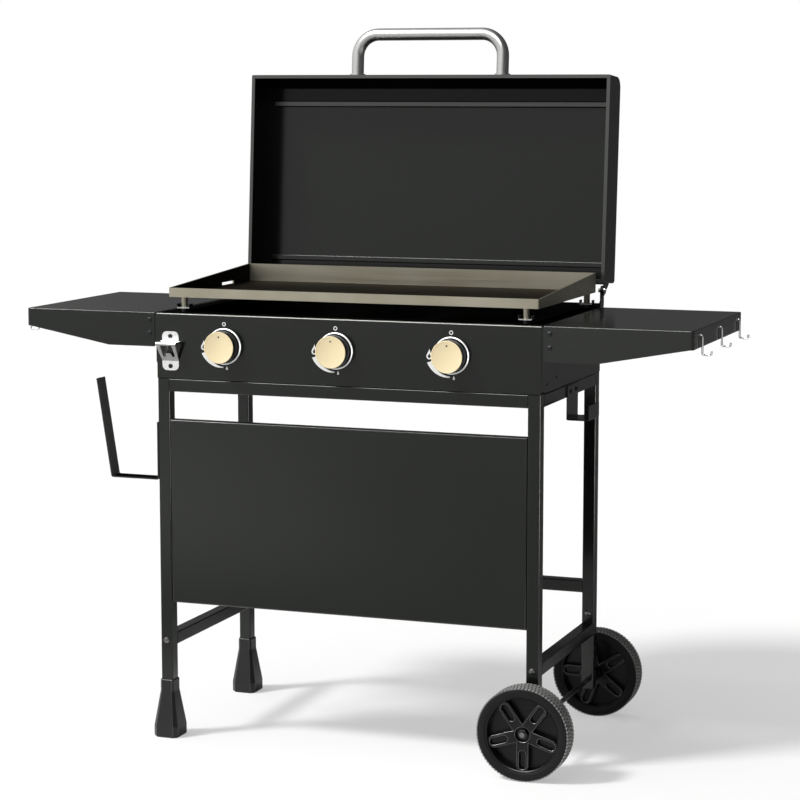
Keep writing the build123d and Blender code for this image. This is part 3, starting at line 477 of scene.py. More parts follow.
# outer corners that are rounded, with their width in metres and the material of the rounding: the glossier
# coat on sheet edges and chrome on the nuts' edges, both as painted highlights
sheetEdge = {"width": 0.0004, "steps": 2, "material": coatSheen}
nutEdge = {"width": 0.0007, "steps": 2, "material": chrome}
rounded = {"axle_nuts": nutEdge, "control_panel": sheetEdge, "front_cover_panel": sheetEdge,
           "left_shelf": sheetEdge, "right_shelf": sheetEdge}
# heights at which a piece's faces are divided, so that each part takes its own finish
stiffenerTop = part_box("hood_stiffeners")[1][2]
divided = {"hood_shell": stiffenerTop}
skins = {}
for material, names in dressed.items():
    for nodeName in names:
        skins[nodeName] = dress(nodeName, material, rounded.get(nodeName), divided.get(nodeName))


# gives the faces that a test picks out another material
def repaint(nodeName, material, picks):
    mesh = skins[nodeName].data
    mesh.materials.append(material)
    for polygon in mesh.polygons:
        if picks(polygon):
            polygon.material_index = len(mesh.materials) - 1


# how far a normal leans one way, and distances in metres, by which faces are told apart
telling = {"squarely": 0.9, "mainly": 0.5, "frontOfLip": 0.7, "underside": 0.2, "bendLeast": 0.15,
           "bendMost": 0.97, "backwards": 0.1, "level": 0.04, "plateGauge": 0.006, "barEnd": 0.02,
           "bendAbove": 0.026, "lipBelow": 0.1}
plateLow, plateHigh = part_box("griddle_plate")
plateMiddle = middle(plateLow, plateHigh, 0)
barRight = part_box("left_bar_bracket")[1][0]
hoodLow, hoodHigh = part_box("hood_shell")
hoodMiddle = middle(hoodLow, hoodHigh, 1)
hoodBend = stiffenerTop + telling["bendAbove"]


def facesUp(polygon):
    return polygon.normal.z > telling["squarely"]


def facesFront(polygon):
    return polygon.normal.y < -telling["squarely"]


def isSeasonedFloorAndShadedWall(polygon):
    floor = facesUp(polygon) and polygon.center.z < plateLow[2] + telling["plateGauge"]
    sideWall = abs(polygon.normal.x) > telling["squarely"]
    inwards = polygon.normal.x * (polygon.center.x - plateMiddle) < 0
    return floor or (sideWall and inwards)


def isPanelBend(polygon):
    leans = telling["bendLeast"] < polygon.normal.z < telling["bendMost"]
    return leans and polygon.normal.y < -telling["bendLeast"]


def isOpenerUnderside(polygon):
    return polygon.normal.z < -telling["underside"]


def isBarTop(polygon):
    return polygon.normal.z > telling["mainly"]


def isBarInside(polygon):
    return polygon.normal.x > telling["mainly"] and polygon.center.x < barRight - telling["barEnd"]


def isHoodRim(polygon):
    return facesFront(polygon) and polygon.center.y < hoodMiddle


def isShadedBand(polygon):
    behind = polygon.center.y > hoodMiddle
    return facesFront(polygon) and behind and polygon.center.z > stiffenerTop


def isInnerBend(polygon):
    downwards = polygon.normal.z < telling["level"] and polygon.normal.y < telling["backwards"]
    behind = polygon.center.y > hoodMiddle and polygon.center.z > hoodBend
    return downwards and behind and abs(polygon.normal.x) < telling["mainly"]


def isUpperLip(polygon):
    above = polygon.center.z > hoodBend - telling["lipBelow"]
    return above and polygon.normal.y < -telling["frontOfLip"]


def isLipUnderside(polygon):
    return polygon.normal.z < -telling["mainly"]


# the cooking floor is seasoned; the inner side walls are painted with the same black as shade
repaint("griddle_plate", seasonedAndShaded, isSeasonedFloorAndShadedWall)
# the panels' tops under the plate are painted black as shade
for nodeName in ("control_panel", "left_side_panel", "right_side_panel"):
    repaint(nodeName, paintedShadeBlack, facesUp)
# the bottle opener's downward faces are painted darker as shade
repaint("bottle_opener", paintedShadeSteel, isOpenerUnderside)
# the bar bracket's top is painted black as shade
repaint("left_bar_bracket", paintedShadeBlack, isBarTop)
# the bar bracket's inner face is painted paler as a reflection
repaint("left_bar_bracket", coatPaintedReflection, isBarInside)
# the long bend of the control panel takes the glossier coat as a painted highlight
repaint("control_panel", coatSheen, isPanelBend)
# the open hood: a glossier rim as painted highlight, a band of less gloss above the upper stiffener as
# painted shade and a black bend over it as painted shade
repaint("hood_shell", coatSheen, isHoodRim)
repaint("hood_shell", coatShadedBand, isShadedBand)
repaint("hood_shell", paintedShadeBlack, isInnerBend)
# the stiffeners: a glossier upper lip as painted highlight and black undersides as painted shade
repaint("hood_stiffeners", coatSheen, isUpperLip)
repaint("hood_stiffeners", paintedShadeBlack, isLipUnderside)

# pieces inside the firebox keep their CAD form
inside = {zinc: ["left_burner", "centre_burner", "right_burner", "left_valve_stem", "centre_valve_stem",
                 "right_valve_stem"],
          brass: ["gas_manifold", "valve_bodies", "left_valve_plug", "centre_valve_plug",
                  "right_valve_plug"],
          ceramic: ["igniter_electrodes"]}
for material, names in inside.items():
    for nodeName in names:
        mesh = frame["nodes"][nodeName].data
        for index in range(len(mesh.materials)):
            mesh.materials[index] = material
print("stage: CAD pieces dressed")


# a closed body of revolution about a line along Y, from (y, radius) pairs in millimetres;
# the bands after the first so many take the second material
def lathe(bm, profile, centreX, centreZ, steps, firstBands=None):
    rings = []
    for y, radius in profile:
        if radius == 0:
            rings.append([bm.verts.new(place(centreX, y, centreZ))])
            continue
        ring = []
        for step in range(steps):
            angle = 2 * math.pi * step / steps
            x = centreX + radius * math.cos(angle)
            z = centreZ + radius * math.sin(angle)
            ring.append(bm.verts.new(place(x, y, z)))
        rings.append(ring)
    pairs = list(zip(rings, rings[1:]))
    hollow = profile[0][1] > 0
    if hollow:
        pairs.append((rings[-1], rings[0]))
    for index, (low, high) in enumerate(pairs):
        for step in range(steps):
            after = (step + 1) % steps
            corners = [low[step % len(low)], low[after % len(low)], high[after % len(high)],
                       high[step % len(high)]]
            face = bm.faces.new(list(dict.fromkeys(corners)))
            face.smooth = True
            face.material_index = 0 if firstBands is None or index < firstBands else 1


def finishMesh(bm, name, materials):
    bmesh.ops.recalc_face_normals(bm, faces=bm.faces)
    markSharp(bm, shading["drawnSharpAngle"])
    mesh = bpy.data.meshes.new(name)
    bm.to_mesh(mesh)
    bm.free()
    for material in materials:
        mesh.materials.append(material)
    return newPiece(name, mesh)


# where each dial sits, read from the CAD knobs
def dialPlace(nodeName):
    low, high = extent(nodeName)
    return {"x": middle(low, high, 0), "z": middle(low, high, 2), "front": low[1], "back": high[1],
            "radius": (high[0] - low[0]) / 2}


# the rim's curve runs from the dished face outwards, as (behind the front, beyond the radius)
knobLook = {"steps": 96, "dish": 0.6, "grooveStart": 4.5, "grooveDepth": 0.7, "grooveWidth": 1.6,
            "grooveSlope": 0.3, "backEdge": 0.5, "dotRadius": 1.7, "dotOffset": 20.5, "dotProud": 0.1,
            "dotSunk": 0.2, "dotSteps": 24,
            "rimCurve": ((0.6, -3.0), (0.45, -2.6), (0.05, -2.1), (0.0, -1.5), (0.15, -0.8),
                         (0.6, -0.25), (1.3, 0.0))}
dialNames = ("left", "centre", "right")
dials = {name: dialPlace(name + "_knob") for name in dialNames}


def knobPiece(name, dial, values):
    bm = bmesh.new()
    front, back, radius = dial["front"], dial["back"], dial["radius"]
    face = front + values["dish"]
    profile = [(face, 0)]
    profile += [(front + behind, radius + beyond) for behind, beyond in values["rimCurve"]]
    grooveStart = front + values["grooveStart"]
    grooveEnd = grooveStart + values["grooveWidth"]
    grooveRadius = radius - values["grooveDepth"]
    slope, backEdge = values["grooveSlope"], values["backEdge"]
    profile += [(grooveStart, radius), (grooveStart + slope, grooveRadius), (grooveEnd, grooveRadius),
                (grooveEnd + slope, radius), (back - backEdge, radius), (back, radius - backEdge), (back, 0)]
    creamBands = len(values["rimCurve"]) - 1
    lathe(bm, profile, dial["x"], dial["z"], values["steps"], creamBands)
    dotFront, dotBack = face - values["dotProud"], face + values["dotSunk"]
    dotRadius = values["dotRadius"]
    dot = [(dotFront, 0), (dotFront, dotRadius), (dotBack, dotRadius), (dotBack, 0)]
    lathe(bm, dot, dial["x"], dial["z"] + values["dotOffset"], values["dotSteps"], 0)
    standIn(finishMesh(bm, name + "_knob_skin", [knobCream, knobDark]), name + "_knob")


for name in dialNames:
    knobPiece(name, dials[name], knobLook)

# plated ring round each knob
ringLook = {"width": 3.9, "steps": 96, "domeSteps": 10}


def bezelPiece(values):
    bm = bmesh.new()
    low, high = extent("knob_bezels")
    front = low[1]
    half = values["width"] / 2
    ridge = (high[2] - low[2]) / 2 - half
    profile = []
    for step in range(values["domeSteps"] + 1):
        angle = math.pi * step / values["domeSteps"]
        profile.append((front * math.sin(angle), ridge - half * math.cos(angle)))
    for name in dialNames:
        lathe(bm, profile, dials[name]["x"], dials[name]["z"], values["steps"])
    piece = finishMesh(bm, "knob_bezel_rings", [ringBright])
    standIn(piece, "knob_bezels")
    return piece


skins["knob_bezels"] = bezelPiece(ringLook)

# a flame's outline and the bare heart in it, as shares of its half height
flameOutline = ((0.0, -1.0), (0.34, -0.93), (0.55, -0.68), (0.58, -0.35), (0.46, -0.02), (0.40, 0.24),
                (0.30, 0.12), (0.24, 0.42), (0.10, 0.74), (0.02, 1.0), (-0.08, 0.62), (-0.26, 0.30),
                (-0.47, -0.04), (-0.58, -0.38), (-0.52, -0.70), (-0.32, -0.93))
flameHeart = ((0.0, -0.78), (0.22, -0.66), (0.30, -0.42), (0.14, -0.10), (0.02, 0.16), (-0.14, -0.12),
              (-0.30, -0.42), (-0.22, -0.66))
# printed dial marks: off ring above, tall flame at the left, a tapering arc and a low flame at the bottom
markLook = {"lift": 0.12,
            "arcs": ({"height": 43.1, "inner": 2.2, "outer": (4.1, 4.1), "angles": (0.0, 360.0),
                      "steps": 40, "closed": True},
                     {"height": 0.0, "inner": 39.3, "outer": (49.8, 41.4), "angles": (197.0, 267.0),
                      "steps": 28, "closed": False}),
            "flames": ({"spot": (-43.2, 1.5), "size": 10.0, "loops": (flameOutline, flameHeart)},
                       {"spot": (5.3, -41.4), "size": 3.9, "loops": (flameOutline,)})}


def dialPoints(bm, dial, points, lift):
    return [bm.verts.new(place(dial["x"] + x, -lift, dial["z"] + z)) for x, z in points]


# faces between two rows of points
def addBand(bm, outer, inner, closed=True):
    count = len(outer)
    made = []
    for step in range(count if closed else count - 1):
        after = (step + 1) % count
        made.append(bm.faces.new((outer[step], outer[after], inner[after], inner[step])))
    return made


# a ring or a part of one, whose outer radius can change along it
def addArc(bm, dial, arc, lift):
    start, end = arc["angles"]
    firstRadius, lastRadius = arc["outer"]
    rows = [[], []]
    for step in range(arc["steps"] if arc["closed"] else arc["steps"] + 1):
        share = step / arc["steps"]
        angle = math.radians(start + (end - start) * share)
        outer = firstRadius + (lastRadius - firstRadius) * share
        for row, radius in zip(rows, (outer, arc["inner"])):
            row.append((radius * math.cos(angle), arc["height"] + radius * math.sin(angle)))
    outerRow, innerRow = [dialPoints(bm, dial, row, lift) for row in rows]
    addBand(bm, outerRow, innerRow, arc["closed"])


# a flame of one loop is a full face, and one of two loops is filled between them
def addFlame(bm, dial, flame, lift):
    x, z = flame["spot"]
    size = flame["size"]
    loops = []
    for shape in flame["loops"]:
        loops.append(dialPoints(bm, dial, [(x + size * u, z + size * v) for u, v in shape], lift))
    if len(loops) == 1:
        bm.faces.new(loops[0])
        return
    edges = []
    for loop in loops:
        for step in range(len(loop)):
            edges.append(bm.edges.new((loop[step], loop[(step + 1) % len(loop)])))
    bmesh.ops.triangle_fill(bm, use_beauty=True, edges=edges)


def dialMarks(values):
    bm = bmesh.new()
    for dial in dials.values():
        for arc in values["arcs"]:
            addArc(bm, dial, arc, values["lift"])
        for flame in values["flames"]:
            addFlame(bm, dial, flame, values["lift"])
    raised = bmesh.ops.extrude_face_region(bm, geom=list(bm.faces))
    moved = [part for part in raised["geom"] if isinstance(part, bmesh.types.BMVert)]
    bmesh.ops.translate(bm, verts=moved, vec=(0, values["lift"] / 1000, 0))
    piece = finishMesh(bm, "dial_marks", [printWhite])
    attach(piece, "cart")


dialMarks(markLook)
print("stage: dials made")


# button-head screws with a socket, set on marked points
screwShape = {"sides": 28, "rings": 6, "dome": 0.55, "socketSides": 6}
screwPattern = Pattern("button_screws", {
    "Geometry": "Geometry", "Head radius": "Float", "Head height": "Float", "Socket radius": "Float",
    "Socket depth": "Float", "Material": "Material"})


def buildScrewPattern(pattern, values):
    inputs = pattern.inputs
    height, radius = inputs["Head height"], inputs["Head radius"]
    head = pattern.node("GeometryNodeMeshCylinder", None, {
        "Vertices": values["sides"], "Fill Segments": values["rings"], "Radius": radius,
        "Depth": height}, "Mesh")
    where = pattern.node("GeometryNodeInputPosition")
    right, away, up = [pattern.part(where, axis) for axis in ("X", "Y", "Z")]
    share = (right * right + away * away) / (radius * radius)
    sink = pattern.vector({"Z": share * height * -values["dome"]})
    domed = pattern.node("GeometryNodeSetPosition", None, {
        "Geometry": head, "Selection": up > 0.0, "Offset": sink})
    lifted = pattern.node("GeometryNodeTransform", None, {
        "Geometry": domed, "Translation": pattern.vector({"Z": height * 0.5})})
    socket = pattern.node("GeometryNodeMeshCylinder", None, {
        "Vertices": values["socketSides"], "Radius": inputs["Socket radius"],
        "Depth": inputs["Socket depth"] * 2.0}, "Mesh")
    sunk = pattern.node("GeometryNodeTransform", None, {
        "Geometry": socket, "Translation": pattern.vector({"Z": height})})
    cut = pattern.node("GeometryNodeMeshBoolean", {"operation": "DIFFERENCE"}, {
        "Mesh 1": lifted, "Mesh 2": sunk})
    aim = pattern.node("GeometryNodeInputNamedAttribute", {"data_type": "FLOAT_VECTOR"}, {"Name": "aim"})
    turn = pattern.node("FunctionNodeAlignRotationToVector", {"axis": "Z"}, {"Vector": aim})
    spread = pattern.node("GeometryNodeInstanceOnPoints", None, {
        "Points": inputs["Geometry"], "Instance": cut, "Rotation": turn})
    pattern.close(spread)


buildScrewPattern(screwPattern, screwShape)


# each seat is a spot with the way that the head faces
def screws(pieceName, seats, sizes, material):
    mesh = bpy.data.meshes.new(pieceName + "_seats")
    mesh.from_pydata([spot for spot, way in seats], [], [])
    aim = mesh.attributes.new("aim", "FLOAT_VECTOR", "POINT")
    for index, (spot, way) in enumerate(seats):
        aim.data[index].vector = way
    piece = screwPattern.run(pieceName, mesh, {**sizes, "Material": material})
    for polygon in piece.data.polygons:
        polygon.use_smooth = False
    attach(piece, "cart")
    return piece


# sizes of the heads in metres
legBolt = {"Head radius": 0.0058, "Head height": 0.0030, "Socket radius": 0.0026, "Socket depth": 0.0014}
smallScrew = {"Head radius": 0.0044, "Head height": 0.0022, "Socket radius": 0.0019,
              "Socket depth": 0.0011}
shelfScrew = {**legBolt, "Head radius": 0.0050, "Head height": 0.0024}
# where the heads sit, in millimetres
screwSeats = {"frameHeight": 195, "rearFrontHeight": 228, "hookHeight": 702, "hookDepths": (190, 229),
              "hookGauge": 2.5, "openerHeights": (799.7, 741.3), "openerGauge": 1.5,
              "shelfHeights": (830, 804), "shelfInset": 5.0}
forward, backward, rightward = (0, -1, 0), (0, 1, 0), (1, 0, 0)


def setScrews(values):
    frontLegLow, frontLegHigh = extent("front_right_leg")
    rearLegLow, rearLegHigh = extent("rear_right_leg")
    legSide = middle(frontLegLow, frontLegHigh, 0)
    rearFront, rearBack = rearLegLow[1], rearLegHigh[1]
    frameSeats = []
    for side in (-legSide, legSide):
        frameSeats.append((place(side, 0, values["frameHeight"]), forward))
        frameSeats.append((place(side, rearFront, values["rearFrontHeight"]), forward))
        frameSeats.append((place(side, rearBack, values["frameHeight"]), backward))
    screws("frame_bolts", frameSeats, legBolt, steelBolt)
    hookFace = frontLegHigh[0] + values["hookGauge"]
    hookSeats = [(place(hookFace, y, values["hookHeight"]), rightward) for y in values["hookDepths"]]
    screws("hook_plate_bolts", hookSeats, smallScrew, blackBolt)
    openerX = middle(*extent("bottle_opener"), 0)
    openerSeats = [(place(openerX, -values["openerGauge"], z), forward) for z in values["openerHeights"]]
    screws("opener_screws", openerSeats, smallScrew, blackBolt)
    shelfBoltX = extent("shelf_bolts")[1][0] - values["shelfInset"]
    shelfSeats = []
    for side in (-shelfBoltX, shelfBoltX):
        for z in values["shelfHeights"]:
            shelfSeats.append((place(side, 0, z), forward))
            shelfSeats.append((place(side, rearBack, z), backward))
    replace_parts(screws("shelf_bolt_heads", shelfSeats, shelfScrew, blackBolt), "shelf_bolts")


setScrews(screwSeats)
print("stage: screws set")


# moulded feet with crisp flattened corners: sections from the floor up, each as
# (share of the height, share of the base, corner in millimetres)
footLook = {"sections": ((0.0, 0.93, 7.5), (0.022, 1.0, 8.0), (0.19, 1.0, 8.0), (0.80, 0.58, 4.4),
                         (0.815, 0.575, 4.2), (0.992, 0.575, 4.2), (1.0, 0.55, 4.0)),
            "edge": 0.0007, "edgeSteps": 2, "levelWithin": 0.0005}


def footPiece(values):
    low, high = extent("left_feet")
    x = middle(low, high, 0)
    wide, tall = (high[0] - low[0]) / 2, high[2]
    firstLeg = middle(*extent("front_left_leg"), 1)
    deep = firstLeg - low[1]
    lastLeg = high[1] - deep
    bm = bmesh.new()
    for y in (firstLeg, lastLeg):
        rings = []
        for rise, share, corner in values["sections"]:
            u, v = wide * share, deep * share
            outline = ((u, v - corner), (u - corner, v), (corner - u, v), (-u, v - corner),
                       (-u, corner - v), (corner - u, -v), (u - corner, -v), (u, corner - v))
            rings.append([bm.verts.new(place(x + right, y + away, rise * tall)) for right, away in outline])
        for lower, upper in zip(rings, rings[1:]):
            addBand(bm, lower, upper)
        bm.faces.new(rings[0])
        bm.faces.new(rings[-1])
    upright = [line for line in bm.edges
               if abs(line.verts[0].co.z - line.verts[1].co.z) > values["levelWithin"]]
    bevel(bm, upright, values["edge"], values["edgeSteps"])
    standIn(finishMesh(bm, "foot_cups", [plastic, plasticSheen]), "left_feet")


footPiece(footLook)
print("stage: feet made")


# tyres: a rounded carcass under three rows of tread blocks
treadPattern = Pattern("tread_rows", {
    "Count": "Int", "Radius": "Float", "Block height": "Float", "Block length": "Float",
    "Block width": "Float", "Row pitch": "Float", "Centre": "Vector", "Material": "Material"})


def buildTreadPattern(pattern):
    inputs = pattern.inputs
    circle = pattern.node("GeometryNodeMeshCircle", None, {
        "Vertices": inputs["Count"], "Radius": inputs["Radius"]})
    size = pattern.vector({
        "X": inputs["Block height"], "Y": inputs["Block length"], "Z": inputs["Block width"]})
    block = pattern.node("GeometryNodeMeshCube", None, {"Size": size}, "Mesh")
    where = pattern.node("GeometryNodeInputPosition")
    turn = pattern.node("FunctionNodeAlignRotationToVector", {"axis": "X"}, {"Vector": where})
    ring = pattern.node("GeometryNodeInstanceOnPoints", None, {
        "Points": circle, "Instance": block, "Rotation": turn})
    joined = pattern.tree.nodes.new("GeometryNodeJoinGeometry")
    for row in (-1, 0, 1):
        rise = pattern.vector({"Z": inputs["Row pitch"] * float(row)})
        # the middle row is turned by half a block
        halfStep = math.pi / (inputs["Count"] * 1.0) if row == 0 else 0.0
        spun = pattern.node("FunctionNodeEulerToRotation", None, {"Euler": pattern.vector({"Z": halfStep})})
        moved = pattern.node("GeometryNodeTransform", None, {
            "Geometry": ring, "Translation": rise, "Rotation": spun})
        pattern.join(moved, joined.inputs["Geometry"])
    upright = pattern.node("FunctionNodeEulerToRotation", None, {"Euler": (math.pi / 2, 0.0, 0.0)})
    pattern.close(pattern.node("GeometryNodeTransform", None, {
        "Geometry": Wire(pattern, joined.outputs["Geometry"]), "Rotation": upright,
        "Translation": inputs["Centre"]}))


buildTreadPattern(treadPattern)
# the curves run as (behind the face, above the bead) and as (behind the face, below the crown)
tyreLook = {"blockHeight": 1.4, "blockCount": 80, "blockShare": 0.70, "blockRise": 0.985, "rows": 3,
            "rowShare": 0.84, "bead": 16.5, "steps": 138,
            "beadCurve": ((1.2, 0.0), (0.4, 1.2), (0.0, 3.0)),
            "shoulderCurve": ((0.0, 4.0), (0.4, 1.8), (1.4, 0.48), (4.0, 0.0))}


def tyrePiece(nodeName, values):
    low, high = extent(nodeName)
    x, z = middle(low, high, 0), middle(low, high, 2)
    front, back = low[1], high[1]
    outer = (high[2] - low[2]) / 2
    inner = outer - values["bead"]
    crown = outer - values["blockHeight"]
    half = [(behind, inner + above) for behind, above in values["beadCurve"]]
    half += [(behind, crown - below) for behind, below in values["shoulderCurve"]]
    profile = [(front + behind, radius) for behind, radius in half]
    profile += [(back - behind, radius) for behind, radius in reversed(half)]
    bm = bmesh.new()
    lathe(bm, profile, x, z, values["steps"])
    standIn(finishMesh(bm, nodeName + "_carcass", [rubber]), nodeName)
    rowPitch = (back - front) / values["rows"]
    step = 2 * math.pi * outer / values["blockCount"]
    seed = bpy.data.meshes.new(nodeName + "_seed")
    sizes = {"Count": values["blockCount"], "Radius": crown / 1000,
             "Block height": 2 * values["blockHeight"] * values["blockRise"] / 1000,
             "Block length": step * values["blockShare"] / 1000,
             "Block width": rowPitch * values["rowShare"] / 1000, "Row pitch": rowPitch / 1000,
             "Centre": place(x, middle(low, high, 1), z), "Material": treadRubber}
    standIn(treadPattern.run(nodeName + "_tread", seed, sizes), nodeName)


for nodeName in ("front_tyre", "rear_tyre"):
    tyrePiece(nodeName, tyreLook)

# wheels: a turned rim and web with five slotted arms on each face, measured in from the tyre's outer face
wheelLook = {"rim": 72.5, "rimWall": 4.0, "rimSetBack": 2.0, "webGauge": 4.0, "recess": 14.0,
             "recessFloor": 14.0, "hub": 16.0, "barrel": 12.0, "bore": 5.2, "bend": 1.6, "arms": 5,
             "armDepth": 5.0, "armHalf": 12.0, "armEnd": 58.5, "armSink": 0.02, "slotHalf": 6.5,
             "slotStart": 37.5, "slotEnd": 59.5, "slotFloor": 13.0, "endSteps": 15, "bendSteps": 4,
             "steps": 96}
wheelTurns = {"front_wheel": 270.0, "rear_wheel": 178.0}


# points along part of a circle, from one angle to another in radians
def arcPoints(centre, radius, start, end, count):
    angles = [start + (end - start) * step / (count - 1) for step in range(count)]
    return [(centre + radius * math.cos(angle), radius * math.sin(angle)) for angle in angles]


# half circles round the slot's ends, from its outer end to its inner one
def slotLoop(radius, values):
    quarter, count = math.pi / 2, values["endSteps"]
    outerEnd = arcPoints(values["slotEnd"], radius, -quarter, quarter, count)
    return outerEnd + arcPoints(values["slotStart"], radius, quarter, 3 * quarter, count)


# an arm's outline: a round outer end, and a hollow inner end along the hub's recess
def armLoop(inset, values):
    quarter, count = math.pi / 2, values["endSteps"]
    half = values["armHalf"] - inset
    recess = values["recess"] + inset
    reach = math.asin(half / recess) if half < recess else quarter
    outerEnd = arcPoints(values["armEnd"], half, -quarter, quarter, count)
    return outerEnd + arcPoints(0.0, recess, reach, -reach, count)


# loops of one arm with their depths, from the slot's floor over the top to the web
def armLoops(values, webDepth):
    bend, top = values["bend"], values["armDepth"]
    steps = values["bendSteps"]
    rounding = []
    for step in range(steps + 1):
        angle = math.pi / 2 * step / steps
        rounding.append((bend * (1 - math.cos(angle)), top + bend * (1 - math.sin(angle))))
    loops = [(slotLoop(values["slotHalf"], values), values["slotFloor"])]
    for inset, depth in rounding:
        loops.append((slotLoop(values["slotHalf"] + inset, values), depth))
    for inset, depth in reversed(rounding):
        loops.append((armLoop(inset, values), depth))
    loops.append((armLoop(0.0, values), webDepth + values["webGauge"] / 2))
    return loops


def addArm(bm, values, webDepth, turn, spot):
    rings = []
    for points, depth in armLoops(values, webDepth):
        ring = []
        for along, across in points:
            x = along * math.cos(turn) - across * math.sin(turn)
            z = along * math.sin(turn) + across * math.cos(turn)
            ring.append(bm.verts.new(spot(x, depth, z)))
        rings.append(ring)
    flats = (0, values["bendSteps"] + 1, len(rings) - 2)
    for index, (low, high) in enumerate(zip(rings, rings[1:])):
        for face in addBand(bm, low, high):
            face.smooth = True
            face.material_index = 0 if index in flats else 1
    bm.faces.new(rings[0])
    bm.faces.new(rings[-1])


# half of the turned profile lies on each side of the web, and the barrel only at the inner face
def wheelProfile(values, width, webDepth):
    bend, setBack, floor = values["bend"], values["rimSetBack"], values["recessFloor"]
    hub, barrel, bore, rim = values["hub"], values["barrel"], values["bore"], values["rim"]
    rimInner = rim - values["rimWall"]
    outerHalf = [(webDepth, hub), (webDepth, rimInner), (setBack + bend, rimInner),
                 (setBack, rimInner + bend), (setBack, rim)]
    innerHalf = [(width - depth, radius) for depth, radius in reversed(outerHalf)]
    outerHub = [(floor, bore), (floor, hub)]
    innerHub = [(width - floor, hub), (width - floor, barrel), (width, barrel), (width, bore)]
    return outerHub + outerHalf + innerHalf + innerHub


def wheelPiece(nodeName, values):
    low, high = extent(nodeName.replace("wheel", "tyre"))
    x, z = middle(low, high, 0), middle(low, high, 2)
    front, back = low[1], high[1]
    width = back - front
    webDepth = (width - values["webGauge"]) / 2
    outerIsFront = nodeName == "front_wheel"

    def inwards(depth):
        return front + depth if outerIsFront else back - depth

    bm = bmesh.new()
    profile = [(inwards(depth), radius) for depth, radius in wheelProfile(values, width, webDepth)]
    lathe(bm, profile, x, z, values["steps"])
    for arm in range(values["arms"]):
        turn = math.radians(wheelTurns[nodeName] + 360 * arm / values["arms"])
        sink = values["armSink"] * arm  # keeps the arms' faces apart where they cross round the hub

        def outerSpot(u, depth, v):
            return place(x + u, inwards(depth + sink), z + v)

        def innerSpot(u, depth, v):
            return place(x + u, inwards(width - depth - sink), z + v)

        addArm(bm, values, webDepth, turn, outerSpot)
        addArm(bm, values, webDepth, turn, innerSpot)
    standIn(finishMesh(bm, nodeName + "_skin", [wheelPlastic, wheelSheen]), nodeName)


for nodeName in wheelTurns:
    wheelPiece(nodeName, wheelLook)
print("stage: wheels made")


# studio: pale floor, white to the camera, a soft sun and a bright surround at the upper left
studio = {"floorColour": (0.94, 0.94, 0.935, 1), "floorGlow": 0.42, "floorHalf": 9.0,
          "toLight": (-0.82, -0.42, 0.38), "dim": 0.09, "bright": 1.08, "dimEdge": -0.10,
          "brightEdge": 1.0, "sunStrength": 2.7, "sunSpread": 11.0, "sunFrom": (-1.25, -1.0, 1.75)}
# tones of the floor as the gloss mirrors it, and the distances in metres over which they come in: painted
# shade on the floor, seen in reflections and bounced light
floorTones = {"near": 0.42, "nearRise": (0.8, 1.0), "nearFall": (2.1, 1.4), "front": 0.50,
              "frontRise": (0.9, 1.8), "far": 0.62, "farRise": (3.6, 5.6), "back": 0.12,
              "backRise": (0.25, 0.9), "slant": (0.9, 0.45), "slantRise": (-0.1, 0.6)}
# long lamps that draw bright lines along the bends and light nothing else
strips = {"overhead_strip": {"energy": 110.0, "size": (2.2, 0.5), "spot": (-0.4, -1.5, 2.9),
                             "aim": (0.0, -0.1, 0.85)},
          "side_strip": {"energy": 55.0, "size": (0.4, 1.3), "spot": (2.4, -1.0, 0.66),
                         "aim": (0.39, -0.24, 0.66)}}
white, black = (1, 1, 1, 1), (0, 0, 0, 1)


def makeSurround(values):
    world = bpy.data.worlds.new("studio_world")
    world.use_nodes = True
    bpy.context.scene.world = world
    sky = Graph(world.node_tree)
    way = sky.node("ShaderNodeTexCoord", None, None, "Generated")
    toLight = Vector(values["toLight"]).normalized()
    facing = sky.node("ShaderNodeVectorMath", {"operation": "DOT_PRODUCT"}, {0: way, 1: toLight}, "Value")
    glow = sky.node("ShaderNodeMapRange", {"interpolation_type": "SMOOTHSTEP"}, {
        "Value": facing, "From Min": values["dimEdge"], "From Max": values["brightEdge"],
        "To Min": values["dim"], "To Max": values["bright"]})
    strength = glow + sky.seen() * (1.0 - glow)  # the camera sees plain white
    backdrop = world.node_tree.nodes["Background"]
    backdrop.inputs["Color"].default_value = white
    sky.join(strength, backdrop.inputs["Strength"])


# the tone in which the floor is mirrored: painted shade, grey in front of the object and behind it
def mirroredTone(finish, tones):
    across, away = finish.part(finish.where, "X"), finish.part(finish.where, "Y")
    towards = away * -1.0
    slantX, slantY = tones["slant"]
    slant = finish.ramp(across * slantX - away * slantY, *tones["slantRise"])
    front = finish.ramp(towards, *tones["frontRise"])
    far = finish.ramp(towards, *tones["farRise"])
    back = finish.ramp(away, *tones["backRise"])
    near = finish.ramp(towards, *tones["nearRise"]) * finish.ramp(towards, *tones["nearFall"])
    tone = 1.0 - front * slant * (1.0 - tones["front"])
    tone = tone - near * (tone - tones["near"])
    tone = tone + far * (tones["far"] - tone)
    return tone - back * (1.0 - tones["back"])


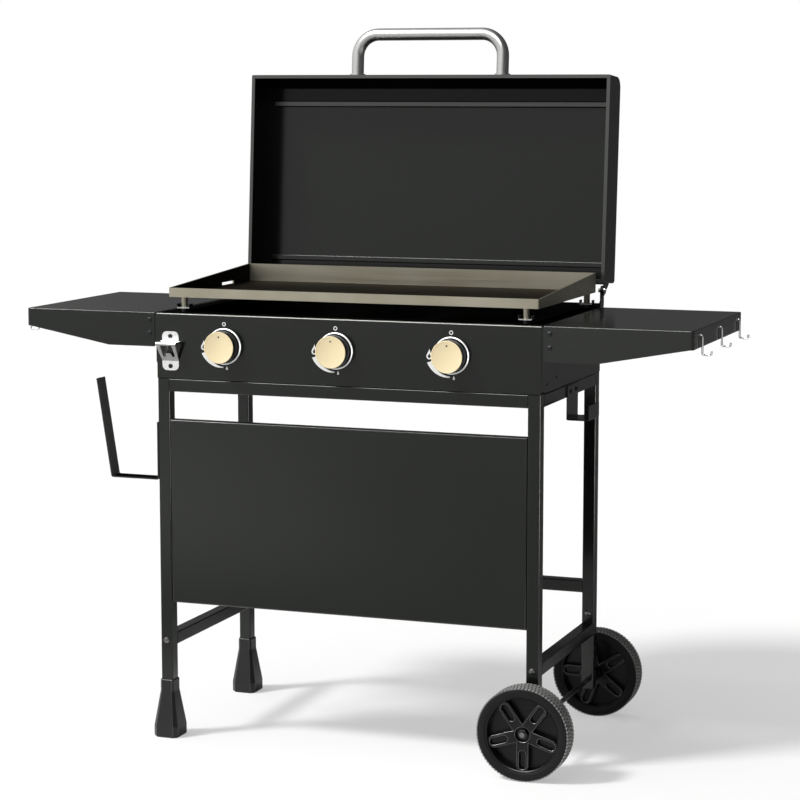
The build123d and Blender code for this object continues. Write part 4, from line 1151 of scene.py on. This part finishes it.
def makeFloor(values, tones):
    finish = Finish("studio_floor", {"Specular IOR Level": 0.0, "Roughness": 1.0})
    tone = mirroredTone(finish, tones)
    seen = finish.seen()
    finish.colour(tone + seen * (1.0 - tone), black, values["floorColour"])
    glow = finish.node("ShaderNodeEmission", None, {"Color": white, "Strength": 1.0})
    surface = Wire(finish, finish.shader.outputs["BSDF"])
    blended = finish.node("ShaderNodeMixShader", None, {0: seen * values["floorGlow"], 1: surface, 2: glow})
    finish.join(blended, finish.tree.nodes["Material Output"].inputs["Surface"])
    bm = bmesh.new()
    bmesh.ops.create_grid(bm, x_segments=2, y_segments=2, size=values["floorHalf"])
    mesh = bpy.data.meshes.new("floor")
    bm.to_mesh(mesh)
    bm.free()
    mesh.materials.append(finish.material)
    newPiece("floor", mesh)


def hangLamp(name, lamp, spot, aim):
    holder = bpy.data.objects.new(name, lamp)
    holder.location = spot
    towards = Vector(aim) - Vector(spot)
    holder.rotation_euler = towards.to_track_quat("-Z", "Y").to_euler()
    link(holder)
    return holder


def makeSun(values):
    sun = bpy.data.lights.new("soft_sun", "SUN")
    sun.energy = values["sunStrength"]
    sun.angle = math.radians(values["sunSpread"])
    hangLamp("soft_sun", sun, values["sunFrom"], (0, 0, 0))


# a strip with receivers lights only them
def makeStrip(name, values, receivers=None):
    strip = bpy.data.lights.new(name, "AREA")
    strip.shape = "RECTANGLE"
    strip.size, strip.size_y = values["size"]
    strip.energy = values["energy"]
    holder = hangLamp(name, strip, values["spot"], values["aim"])
    holder.visible_diffuse = False
    if receivers:
        lit = bpy.data.collections.new(name + "_receivers")
        for piece in receivers:
            lit.objects.link(piece)
        holder.light_linking.receiver_collection = lit


makeSurround(studio)
makeFloor(studio, floorTones)
makeSun(studio)
makeStrip("overhead_strip", strips["overhead_strip"])
# the side strip leaves out the wide faces, which would mirror it whole
wideFaces = ("control_panel", "left_shelf")
linedNames = [nodeName for nodeName in dressed[coat] if nodeName not in wideFaces] + ["knob_bezels"]
makeStrip("side_strip", strips["side_strip"], [skins[nodeName] for nodeName in linedNames])

# the photograph's viewpoint, in millimetres and radians
viewpoint = {"x": 1660.5, "y": -4205.0, "z": 1278.9, "yaw": 0.35242, "pitch": 0.12945, "lens": 108.065,
             "sensor": 36.0}
camera = bpy.data.cameras.new("photo_camera")
camera.lens = viewpoint["lens"]
camera.sensor_width = viewpoint["sensor"]
cameraHolder = bpy.data.objects.new("photo_camera", camera)
cameraHolder.location = place(viewpoint["x"], viewpoint["y"], viewpoint["z"])
cameraHolder.rotation_euler = (math.pi / 2 - viewpoint["pitch"], 0.0, viewpoint["yaw"])
link(cameraHolder)
bpy.context.scene.camera = cameraHolder
bpy.context.scene.view_settings.view_transform = "Standard"
print("stage: studio ready")
